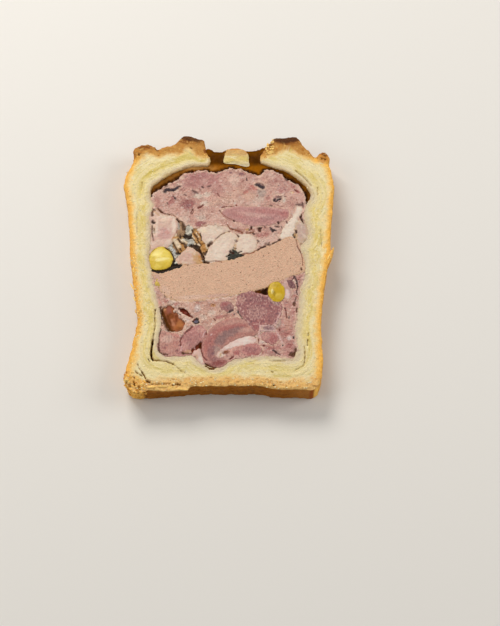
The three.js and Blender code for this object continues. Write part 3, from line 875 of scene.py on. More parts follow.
def crumb_colours(skin, baked, inner, broad):
    """Ivory by the filling, then yellow with an olive layer, then cream under the skin."""
    x, y = skin.plan.T
    share = inner / (inner + baked + TINY) + 0.06 * broad
    colour = ramp(share, CRUMB_BAND)
    lid = step_up(*CREAM_LID, y)
    foot = step_up(*CREAM_FOOT, y)
    colour = blend(colour, CRUMB_CREAM, 0.5 * np.maximum(lid, foot))
    colour = blend(colour, CRUMB_IVORY, 0.85 * ivory_share(skin, inner, broad))
    colour = blend(colour, CRUMB_STAINED, 0.7 * (1.0 - step_up(0.4, 1.6, inner + 0.4 * broad)))
    layer_in, layer_out = OLIVE_LAYER
    layer = step_up(*layer_in, share) * (1.0 - step_up(*layer_out, share))
    strength = 0.05 + lid * (0.3 + 0.35 * step_up(10.0, -20.0, x)) + 0.2 * foot
    colour = blend(colour, CRUMB_OLIVE, layer * np.clip(strength * (1.0 + 0.7 * broad), 0.0, 0.85))
    stain = (1.0 - step_up(0.1, 1.5, inner + 0.4 * broad)) * step_up(*BY_JELLY, y)
    return blend(colour, JELLY_STAIN, 0.7 * stain)


def side_colours(skin, broad, patch, lid):
    """The browned outside: golden walls, a toasted lid and a darker front of the foot."""
    x = skin.plan[:, 0]
    gold = np.tile(SKIN_GOLD, (len(x), 1))
    side = blend(gold, SKIN_TOAST, np.clip(0.4 + 0.6 * broad + 0.5 * lid, 0.0, 1.0))
    side = blend(side, SKIN_BROWN, np.clip(0.5 * patch, 0.0, 0.4))
    base = blend(np.tile(BASE_BROWN, (len(x), 1)), SKIN_TOAST, np.clip(0.4 * broad, 0.0, 0.4))
    base = blend(base, SKIN_DARK, np.clip(0.6 * patch, 0.0, 0.45))
    base = blend(base, SKIN_TOAST, 0.6 * step_up(21.0, 27.0, x))
    base = blend(base, BASE_RED, step_up(30.0, 30.8, x) * (1.0 - step_up(31.6, 32.2, x)))
    # Amber at the foot's front corners: partly baked gold, partly painted light where the corners catch the
    # lamps
    base = blend(base, SKIN_AMBER_LIT, np.maximum(step_up(31.6, 32.4, x), step_up(-30.6, -32.0, x)))
    return blend(side, base, foot_front(skin))


def crust_colours(skin, baked, inner):
    """The dough's colours, how much of each point is crumb, and how freckled it is."""
    x, y = skin.plan.T
    broad = ripple(skin.points, 4.0, 1)
    patch = ripple(skin.points, 1.5, 2)
    lid = step_up(*LID, y)
    foot = step_up(*FOOT, y)
    chimney = 1.0 - step_up(*CHIMNEY, np.abs(x - CHIMNEY_MIDDLE))
    right = step_up(*RIGHT_WALL, x) * (1.0 - lid) * (1.0 - foot)
    thick = WALL_THICK + LID_MORE * lid - CHIMNEY_LESS * lid * chimney + FOOT_MORE * foot
    thick = (thick + LOW_WALL_MORE * step_up(*LOW_WALL, y)) * (1.0 + 0.3 * broad)
    depth = baked / thick + 0.14 * patch
    band = blend(ramp(depth, WALL_BAND), ramp(depth, LID_BAND), lid)
    band = blend(band, ramp(depth, FOOT_BAND), foot)
    under_skin = step_up(*OUTER_SKIN, depth)
    # The right wall's band: amber on its skin and lighter beneath, partly its own orange colour and partly
    # painted light on a rim that the lamps leave in shade
    band = blend(band, SKIN_AMBER_LIT, right * (0.7 + 0.3 * broad) * (1.0 - 0.9 * under_skin))
    band = blend(band, SKIN_GLOW, 0.5 * right * under_skin)
    upright = 1.0 - step_up(*SIDE_FACING, np.abs(skin.facing[:, 2]))
    band = blend(band, side_colours(skin, broad, patch, lid), upright)
    crumb = step_up(0.4 + 0.2 * lid, 1.3 + 0.3 * lid, depth)
    colour = blend(band, crumb_colours(skin, baked, inner, broad), crumb)
    # Pits on the torn left wall painted towards toast: partly brown dough, partly painted shade in pits
    # with no depth
    pits = torn_wall(skin) * (1.0 - step_up(1.4, 2.4, baked))
    pits = pits * step_up(0.3, 0.6, ripple(skin.points, 0.8, 9))
    colour = blend(colour, SKIN_TOAST, 0.75 * pits)
    smooth = ivory_share(skin, inner, broad)
    freckled = (0.35 + 0.65 * np.maximum(lid, foot)) * (1.0 - 0.85 * foot_front(skin)) * (1.0 - smooth)
    for x, y, long, wide, turn, over, strength in BAKED_PLACES:
        reach = oval_reach(skin.plan, (x, y), (long, wide), turn) + 0.25 * patch
        share = strength * (1.0 - step_up(0.6, 1.1, reach))
        colour = blend(colour, over, share)
        freckled *= 1.0 - 0.9 * share * (over is SKIN_DARK)
    return colour, crumb * (1.0 - 0.6 * smooth), freckled


def sharpen_flake(skin):
    """Draws the blunt top of the flake on the right wall to a sliver that points up and out."""
    x, y = skin.plan.T
    notch_x, notch_y = FLAKE_NOTCH
    tip_x, tip_y = FLAKE_TIP
    top = notch_y + (tip_y - notch_y) * (x - notch_x) / (tip_x - notch_x)
    room = np.clip((top - FLAKE_FOOT) / (tip_y - FLAKE_FOOT), FLAKE_LEAST, 1.0)
    drawn = FLAKE_FOOT + (y - FLAKE_FOOT) * room
    share = step_up(notch_x - 0.4, notch_x, x) * (y > FLAKE_FOOT) * (y < tip_y + 1.0)
    skin.points[:, 1] = blend(y[:, None], drawn[:, None], share)[:, 0]


def raise_strips(skin):
    """Draws the tops of the lid's dough strips up to crisp ends."""
    x, y = skin.plan.T
    for middle, reach, height in STRIP_RISE:
        share = 1.0 - step_up(0.3, 1.0, np.abs(x - middle) / reach)
        skin.points[:, 1] += height * share * step_up(*STRIP_TOPS, y)


def dough_relief(skin, baked, inner, grain):
    """A torn inner line, the grain, and crumbly edges at the lid, the foot and the left wall."""
    x, y = skin.plan.T
    skin.tear(INNER_TEAR * (1.0 - step_up(0.5, 2.0, inner)) * (1.0 - step_up(*UNDER_LID, y)))
    edge = 1.0 - step_up(0.4, 2.4, baked)
    across, along = BROKEN_CORNER
    corner = step_up(*across, x) * step_up(*along, y)
    crumbly = 0.15 + step_up(*CRUMBLY_FOOT, y) + 0.75 * step_up(*CRUMBLY_LID, y) + 0.8 * corner
    crumbly += 0.7 * torn_wall(skin)
    crumbly *= 1.0 - 0.7 * (1.0 - corner) * foot_front(skin)
    layers = ripple(grain * GRAIN_STRETCH, 1.0, 4)
    skin.swell(GRAIN_HEIGHT * layers + GRAIN_HEIGHT * ripple(skin.points, 0.9, 5))
    lumpy = CRUMBLE_HEIGHT * ripple(skin.points, 2.4, 6) + CRUMBLE_HEIGHT * ripple(skin.points, 0.9, 8)
    skin.swell(edge * crumbly * lumpy)
    skin.lower(EDGE_DROP * (1.0 - step_up(0.0, 1.2, baked)))


def dough_cracks(skin, baked, inner):
    """Cuts the cracks, and gives each point's painted shade in them and in the solid's own open cracks."""
    x, y = skin.plan.T
    crevice = np.zeros(len(skin.points))
    wander = CRACK_WANDER * ripple(skin.points, 1.2, 7)
    for half, depth, dark, course in DOUGH_CRACKS:
        reach = np.maximum(course_reach(skin.plan, course) + wander, 0.0) / half
        cut = 1.0 - step_up(0.1, 1.0, reach)
        skin.lower(depth * cut)
        crevice = np.maximum(crevice, cut * dark * skin.on_top)
    # Painted shade in the solid's own open cracks below the cut face, away from the outside
    sunk = CUT_FACE - skin.points[:, 2]
    hollow_shade = step_up(0.9, 2.2, sunk) * (1.0 - step_up(4.2, 4.6, sunk))
    hollow_shade *= (np.abs(x) < 34.0) & (y > -50.5)
    return np.maximum(crevice, 0.8 * hollow_shade * step_up(0.9, 1.6, baked) * step_up(0.5, 1.0, inner))


def crust():
    """The dough's skin, with the distance of each point from the baked outside."""
    skin = Skin("crust", DOUGH_FINE, DOUGH_OVERLAP)
    sharpen_flake(skin)
    raise_strips(skin)
    far = nearest_on(filling_outline(), skin.outline)[0]
    inside_line = skin.outline[far < FILLING_REACH]
    baked = nearest_on(skin.outline[far >= FILLING_REACH], skin.plan)[0]
    inner, nearest = nearest_on(inside_line, skin.plan)
    turn = np.arctan2(inside_line[:, 0] - CHIMNEY_MIDDLE, -inside_line[:, 1])
    grain = np.column_stack([inner, WALL_RADIUS * turn[nearest], skin.points[:, 2]])
    colour, crumb, freckled = crust_colours(skin, baked, inner)
    dough_relief(skin, baked, inner, grain)
    crevice = dough_cracks(skin, baked, inner)
    looks = {"grain": grain, "crumb": crumb, "crevice": crevice, "freckled": freckled}
    skin.write(FINISH["dough"], "dough", colour, **looks)
    return skin, baked


def lid_plug():
    """The bit of dough that closes the chimney, toasted on top."""
    skin = Skin("lid_plug", FINE, PLUG_OVERLAP)
    x, y = skin.plan.T
    height = y + 0.7 * ripple(skin.points, 2.0, 11)
    colour = ramp(height, PLUG_BAND)
    skin.swell(GRAIN_HEIGHT * ripple(skin.points, 1.1, 12))
    skin.lower(PLUG_DROP * (1.0 - step_up(0.0, 1.2, skin.rim)))
    grain = np.column_stack([y, x, skin.points[:, 2]])
    crumb = 1.0 - step_up(*PLUG_BAKED, height)
    skin.write(FINISH["dough"], "dough", colour, grain=grain, crumb=crumb, freckled=1.0 - crumb)


# The filling

# Soft washes on the fillings' cut faces: x, y, half sizes, turn, colour and strength
WASHES = {
    "forcemeat_top": [
        (-10.5, 34, 8.5, 3.6, 12, ROSE_MAUVE, 0.75), (-13, 35.6, 6, 1.9, 8, ROSE_MAUVE, 0.7),
        (-5, 31, 3, 4, 20, ROSE_MAUVE, 0.55), (20.6, 34.2, 3.6, 2, -25, LEAN, 0.5),
        (21, 29.8, 2.6, 1.8, 20, ROSE_MAUVE, 0.7), (17, 33, 2, 1.6, 0, LEAN, 0.4),
        (3, 27, 6, 3.4, 10, BEIGE, 0.6), (2, 34, 2.2, 2.6, 10, PALE_PINK, 0.8),
        (-2, 24.6, 4, 1.8, 0, BEIGE, 0.5), (-16, 23.2, 3, 2.3, 15, LEAN, 0.97),
        (-15.8, 22.8, 1.1, 0.8, 0, VIOLET, 0.5), (-22.4, 24.4, 1.3, 2.4, -15, BRICK, 0.75),
        (-11.2, 14.4, 2.3, 1.5, 15, tone(150, 84, 84), 0.95), (4.8, 36.8, 1.1, 0.7, 0, VIOLET, 0.9),
        (0.8, 37.3, 0.8, 0.5, 0, VIOLET, 0.8), (9.4, 30.6, 2.2, 1.2, -15, CORAL, 0.8),
        (6.6, 28.6, 1.1, 1.0, 0, CORAL, 0.8), (25, 31.6, 1.6, 1.2, -40, BRICK, 0.6),
        (26.8, 29, 1.2, 0.7, -45, BRICK, 0.8), (15.6, 26, 1.1, 0.9, 0, LEAN, 0.55),
        (-28.4, 24, 1.2, 2, 0, CORAL, 0.4), (12.8, 28.4, 1.9, 2.5, 0, GREY, 0.85),
        (11, 25.2, 2.6, 1.6, 0, LINEN, 0.65), (-13.4, 28.6, 1.9, 0.9, -42, GREY_PURPLE, 0.75),
        (-12, 26.8, 1.8, 1.2, 0, LINEN, 0.75), (3.6, 24.6, 3.2, 1.4, 0, PALE_PINK, 0.55),
        (-17.5, 16.4, 2, 1.8, 0, LINEN, 0.5), (-5.5, 17.6, 3, 1.6, -20, PALE_PINK, 0.35),
        (-10, 19.4, 2, 1.2, 0, PALE_PINK, 0.55), (16, 8.4, 4.4, 2, 20, PALE_PINK, 0.6),
        (13, 10, 2.4, 1, 10, BRICK, 0.6), (5, 11.8, 5, 0.8, 0, RUST, 0.5),
        (7.2, 12.2, 0.9, 0.6, 0, TAN, 0.9), (28, 23, 1.9, 0.7, 5, INK, 0.85),
        (-4.6, 14.2, 1.3, 0.5, -8, BLUE_GREY, 0.6), (13.6, 36.8, 1.6, 1.4, 0, BEIGE, 0.6),
        (-28, 20.6, 1.5, 0.8, -30, TAN, 0.6), (-9, 27.4, 2.2, 1.3, 10, LINEN, 0.7),
        (-9.4, 23.6, 1.8, 1.1, 0, LINEN, 0.8), (-6, 23.6, 3, 1.4, 0, BEIGE, 0.6),
        (-10.6, 17.4, 2, 1.4, 0, LINEN, 0.7), (-16.6, 18.8, 2, 1.3, 0, PALE_PINK, 0.6),
        (-2, 19.4, 2, 1.2, 0, PINK, 0.6), (-14.4, 12.6, 1, 0.8, 0, PALE_PINK, 0.7),
        (8.4, 26.6, 2.6, 2, 0, BEIGE, 0.8), (10, 23.6, 3, 1, 0, PALE_PINK, 0.6),
        (16.4, 36.2, 2.4, 1.1, -20, PALE_PINK, 0.6), (14.6, 33, 1, 2, 0, BEIGE, 0.6),
        (24.6, 28.4, 0.7, 0.45, 0, SKIN_GLOW, 0.6), (21.4, 25.5, 0.8, 1.4, 0, LINEN, 0.95),
        (-18.4, 35.2, 0.8, 1, 30, PEACH, 0.8), (19, 13, 2.6, 1.8, 30, PALE_PINK, 0.5),
        (12.5, 6.6, 2.6, 1.4, 20, LINEN, 0.45), (18.8, 9.8, 2, 1.4, 0, PALE_PINK, 0.6),
        (20, 10.6, 1, 0.7, 0, CORAL, 0.5), (14.4, 9.8, 1.2, 0.8, 0, CORAL, 0.5),
    ],
    "forcemeat_left": [
        (-11.6, -21, 1.3, 1.7, -15, FAT_WHITE, 0.95), (-15.6, -25.4, 1.6, 1.2, -20, FAT_WHITE, 0.9),
        (-18.2, -22.8, 0.8, 1.8, 38, FAT_WHITE, 0.85), (-12.6, -28.2, 1.6, 0.6, -15, FAT_WHITE, 0.9),
        (-3.4, -24.6, 1.8, 0.9, 10, BRICK, 0.75), (0.6, -24, 2.6, 1.2, 20, BRICK, 0.5),
        (-6.4, -22.8, 1.6, 1.2, 0, LINEN, 0.6), (-9.4, -24.6, 1.4, 1.4, 0, LINEN, 0.6),
        (-24.8, -20.8, 0.8, 1.6, 12, TAN, 0.6), (-25.8, -19.2, 0.7, 2, 22, CORAL, 0.8),
        (-21.4, -18.2, 1.4, 1, 0, LINEN, 0.8), (-24, -16.2, 0.5, 0.5, 0, INK, 0.8),
        (-23.8, -18.2, 0.7, 0.6, 0, BRICK, 0.6), (-22.8, -17, 1, 0.6, 10, FAT_WHITE, 0.7),
        (-26.6, -15.5, 1, 1.8, 10, LEAN, 0.45), (-27.2, -9, 1, 2.4, 8, ROSE, 0.5),
        (-2, -16.8, 4, 0.7, 6, PALE_PINK, 0.6), (-8, -28.4, 1.4, 1.8, 40, PALE_PINK, 0.6),
        (-9, -33, 0.6, 1.4, -15, PALE_PINK, 0.8), (-19.4, -19.4, 2, 0.8, -10, BRICK, 0.5),
        (-5.8, -19.8, 1, 0.7, 0, CARAMEL, 0.8),
    ],
    "forcemeat_right": [
        (23, -33.2, 0.9, 1.3, 0, FAT_WHITE, 0.95), (13, -34.6, 1.6, 0.8, 0, FAT_WHITE, 0.7),
        (19, -27, 1.2, 1.8, -20, GREY, 0.75), (13, -31, 1.4, 1.2, 0, GREY, 0.6),
        (22.6, -29, 1.6, 3.6, 0, CORAL, 0.4), (22.6, -36.2, 1.2, 1.2, 0, BRICK, 0.7),
        (16, -37, 1.6, 0.7, -10, BRICK, 0.7), (21.6, -31.4, 1.2, 0.7, 0, BRICK, 0.5),
        (15, -36, 2, 1, 0, BEIGE, 0.5), (23.6, -20, 1.6, 2.4, 0, BEIGE, 0.25),
        (19, -38.6, 2.4, 0.9, 0, BEIGE, 0.5), (20.6, -35.6, 0.8, 1.2, 15, PALE_PINK, 0.7),
        (22.6, -13, 1.4, 3.2, 0, PALE_PINK, 0.3), (22.4, -26, 1.6, 4, 0, BEIGE, 0.5),
        (16, -36, 3, 2, 0, BRICK, 0.35), (15.4, -31.4, 3, 2.4, 0, LEAN, 0.3),
    ],
    "muscle_lens": [
        (9, 18.6, 8.5, 1.0, -10, PALE_PINK, 0.3), (16, 20, 6.5, 1.0, -6, BRICK, 0.35),
        (3.4, 18.8, 4.0, 1.6, -20, BRICK, 0.25), (14, 16.6, 5.0, 1.2, 12, VIOLET, 0.25),
        (21.8, 18.6, 1.8, 1.4, 0, BRICK, 0.55),
    ],
    "muscle_large": [
        (11, -17.4, 4.6, 1.6, 0, VIOLET, 0.3), (10.8, -29, 1.2, 2.6, 30, BRICK, 0.7),
        (13, -26.6, 4, 1.4, 0, BRICK, 0.35), (10.6, -23, 3.6, 3, 0, PALE_PINK, 0.2),
        (5.2, -17.4, 1.6, 1.6, 0, PINK, 0.45), (17.6, -18.6, 2.6, 0.9, -35, GREY, 0.5),
    ],
    "muscle_curl": [
        (3, -27, 5.4, 1.3, 8, PINK, 0.45), (1.6, -28.8, 6.2, 1.3, 12, BRICK, 0.65),
        (-6.6, -34, 2.0, 5.0, -30, BRICK, 0.5), (0.6, -31.2, 5.4, 1.6, 25, GREY_PURPLE, 0.85),
        (-2.6, -34, 3.2, 2.0, 48, GREY_PURPLE, 0.85), (6.8, -30, 3.2, 1.0, 8, PINK, 0.55),
        (-4, -38.4, 1.4, 2.4, -10, GREY, 0.6), (-6.2, -38.6, 1.4, 2.8, -8, VIOLET, 0.5),
        (-3.6, -43.2, 3.6, 1.2, 12, tone(138, 72, 68), 0.95), (-4.6, -41.6, 2.4, 0.9, 10, VIOLET, 0.5),
        (-5.6, -39.4, 0.7, 0.6, 0, VIOLET, 0.7), (-8.6, -38, 0.9, 3.8, 0, CORAL, 0.35),
    ],
    "muscle_fold": [
        (-2.2, -39.5, 2.2, 1.3, 35, LINEN, 0.8), (3.4, -39, 1.5, 1.2, 0, BRICK, 0.9),
        (5.4, -36.6, 2.6, 0.8, 8, CORAL, 0.5), (-0.7, -38.8, 1.4, 0.9, 10, RUST, 0.95),
        (-2.8, -40, 0.35, 1, -15, TAN, 0.7), (3, -41.2, 3.0, 0.8, 0, PALE_PINK, 0.5),
    ],
    "muscle_under": [
        (8.7, -37.9, 2.8, 1.4, 6, MAUVE, 0.8), (9.2, -39.8, 3.4, 0.7, 4, BRICK, 0.8),
        (8, -36, 3.2, 0.6, 8, BRICK, 0.5),
    ],
    "muscle_lobe": [(17.2, -33.4, 1.8, 2.0, 0, BRICK, 0.6), (14.4, -32.6, 1.6, 1.4, 0, PINK, 0.5)],
    "muscle_scrap": [
        (0.6, -20.6, 1.8, 1.3, -20, GREY_PURPLE, 0.7), (-1.4, -19.4, 1.4, 0.9, 0, BRICK, 0.6),
    ],
    "muscle_left": [
        (-13, -34.4, 3.0, 3.2, -20, GREY_PURPLE, 0.2), (-10.4, -30, 1.8, 1.0, 0, PINK, 0.5),
        (-14.6, -38.6, 2.2, 0.8, 0, TAN, 0.6), (-16, -36.4, 1.2, 1.6, 0, PINK, 0.4),
    ],
    "muscle_corner": [
        (-22.6, -33.4, 2.6, 1.8, 20, PALE_PINK, 0.55), (-23.8, -37, 1.1, 0.7, 0, LEAN, 0.7),
        (-18.8, -38.4, 0.9, 0.8, 0, LEAN, 0.9), (-19.6, -32, 2, 0.9, -20, CORAL, 0.5),
        (-19.4, -35.6, 1.4, 1.4, 0, CORAL, 0.4),
    ],
    "muscle_fascia": [(14.6, -28.9, 2.4, 0.6, -8, VIOLET, 0.8)],
    "poultry_left": [
        (-25, 10.4, 3, 2.8, 10, tone(194, 150, 142), 0.9), (-23.8, 11, 1.2, 1, 0, CORAL, 0.35),
        (-25.6, 17, 3.4, 1.3, 0, PEACH, 0.7), (-29, 13, 0.9, 5, 0, PEACH, 0.6),
        (-23, 6.6, 2, 1.6, 0, LINEN, 0.5), (-21.4, 14, 0.8, 3.4, 4, LINEN, 0.7),
        (-24.6, 17.6, 3.4, 0.7, 0, LINEN, 0.6), (-27.9, 13, 0.5, 4.4, 0, LINEN, 0.5),
    ],
    "poultry_upper": [
        (-3.6, 13.2, 1.8, 0.9, -10, GREY, 0.35), (-9.8, 11.6, 1.2, 1.0, 0, IVORY, 0.7),
        (-7, 8, 1.8, 1.4, 0, LINEN, 0.5),
    ],
    "poultry_middle": [(-3, 4, 3.0, 5.0, -30, LINEN, 0.5)],
    "poultry_right": [(7, 6.4, 2.8, 2.8, 0, LINEN, 0.45), (3.4, 8, 0.8, 1.6, -20, TAN, 0.4)],
    "poultry_lower": [
        (-11.8, -0.6, 2, 3.4, 18, TAN, 0.9), (-10.6, -0.8, 0.9, 2.8, 14, CARAMEL, 0.85),
        (-16.4, 0.4, 2.6, 1.8, 20, ROSE, 0.4), (-14.6, 3.2, 1.2, 1.0, 0, LINEN, 0.4),
        (-17.4, -2.6, 1.2, 0.7, 0, CARAMEL, 0.5),
    ],
    "poultry_strip": [(24.4, 14, 1.6, 6.0, -22, LINEN, 0.7), (25.5, 20.8, 0.8, 2.2, -24, PINK, 0.95)],
    "poultry_side": [(28, 12, 2.0, 3.4, 0, tone(186, 158, 146), 0.8), (26, 9.4, 0.8, 1.8, 0, TAN, 0.5)],
    "liver_mousse": [
        (-27.4, -8.6, 1.4, 2.0, 0, PINK, 0.6), (-24, -13.6, 1.6, 2.4, 30, PALE_PINK, 0.35),
        (27.4, 4, 1.2, 4.0, 10, PALE_PINK, 0.3), (-14, -16.4, 6, 0.9, 4, PALE_PINK, 0.5),
        (-4, -15.8, 5, 0.8, 4, ROSE, 0.5),
    ],
    "fat_strip": [(-2.2, -38, 1.6, 0.8, 30, ROSE, 0.5), (9.4, -33.4, 1.8, 0.8, 0, ROSE, 0.4)],
    "fat_wedge": [
        (-10, -41.8, 1.2, 1.6, 0, LINEN, 0.8), (-11.8, -40.8, 0.8, 1.0, 30, TAN, 0.6),
        (-10.6, -44, 1.6, 0.6, -40, CARAMEL, 0.6),
    ],
    "fat_side": [
        (22.2, -15.2, 1.2, 2.2, 10, tone(226, 202, 194), 0.8), (22, -11, 1.0, 1.4, 0, ROSE, 0.6),
    ],
    "mushroom_curl": [(-19.6, 6.2, 1.4, 2.4, 30, IVORY, 0.6)],
    "mushroom_pale": [(-22.4, 5.2, 1.4, 1.2, 30, GREEN_WHITE, 0.5)],
    "truffle_eye": [
        (-12, -26.4, 0.8, 0.6, 0, tone(98, 92, 108), 0.9), (-12.9, -25.8, 0.7, 0.5, 30, DEEP_RED, 0.8),
    ],
    "black_mushroom_tuft": [
        (1.2, 2.6, 0.6, 0.5, 0, tone(92, 94, 80), 0.8), (3, 1.9, 0.6, 0.4, 0, tone(88, 88, 74), 0.8),
    ],
    "truffle_knot": [(19.2, 25.6, 0.7, 0.4, 25, GREY, 0.8)],
    "pistachio_left": [
        # Pale washes are a painted highlight across the kernel's dome; NUT_SHADE washes are painted shade
        # at its left and lower rim
        (-27.4, 1.6, 2, 1.6, 20, tone(246, 232, 150), 0.5),
        (-26, -0.8, 3, 0.8, 6, tone(244, 230, 160), 0.7), (-29.4, -2.6, 1.4, 3.0, -20, NUT_SHADE, 0.7),
        (-26, -2.4, 3.4, 0.9, 8, NUT_SHADE, 0.4), (-24, -3.6, 2.4, 1.2, 30, NUT_SHADE, 0.5),
    ],
    "pistachio_right": [
        # The first pale wash is a painted highlight on the kernel
        (16.7, -14, 0.5, 1.1, 0, tone(240, 226, 160), 0.75), (19.2, -16, 1.4, 1.4, 0, NUT_PALE, 0.5),
        (18.4, -11.4, 2.2, 1.2, 0, tone(172, 142, 16), 0.5),
        (17.4, -15, 0.6, 1.3, 10, tone(140, 116, 6), 0.6),
    ],
    "jelly_pocket": [
        (-18.2, -27.4, 1.4, 1.8, 10, tone(166, 106, 62), 0.8),
        (-20.8, -27, 0.7, 2.2, 20, tone(176, 118, 88), 0.8),
        (-22.2, -25.6, 0.5, 2.6, 22, tone(96, 46, 14), 0.8),
        (-19.4, -28.8, 2, 0.8, -10, tone(146, 84, 40), 0.6),
        (-19.6, -24.8, 0.6, 1.8, 10, tone(112, 56, 28), 0.7),
        (-22.4, -21.4, 1.1, 1.8, 0, tone(138, 82, 70), 0.85),
        (-21.6, -24, 1.4, 1.2, 0, tone(120, 64, 26), 0.7),
        (-24.4, -20.6, 0.8, 1.4, 20, tone(200, 146, 104), 0.8),
        # Painted shade in the crevice along the pocket's left edge
        (-23.8, -25.8, 4.6, 0.9, -67, tone(70, 36, 10), 0.95),
    ],
    "jelly_wedge": [(11, -14, 1.6, 0.8, 10, tone(108, 58, 18), 0.8)],
}

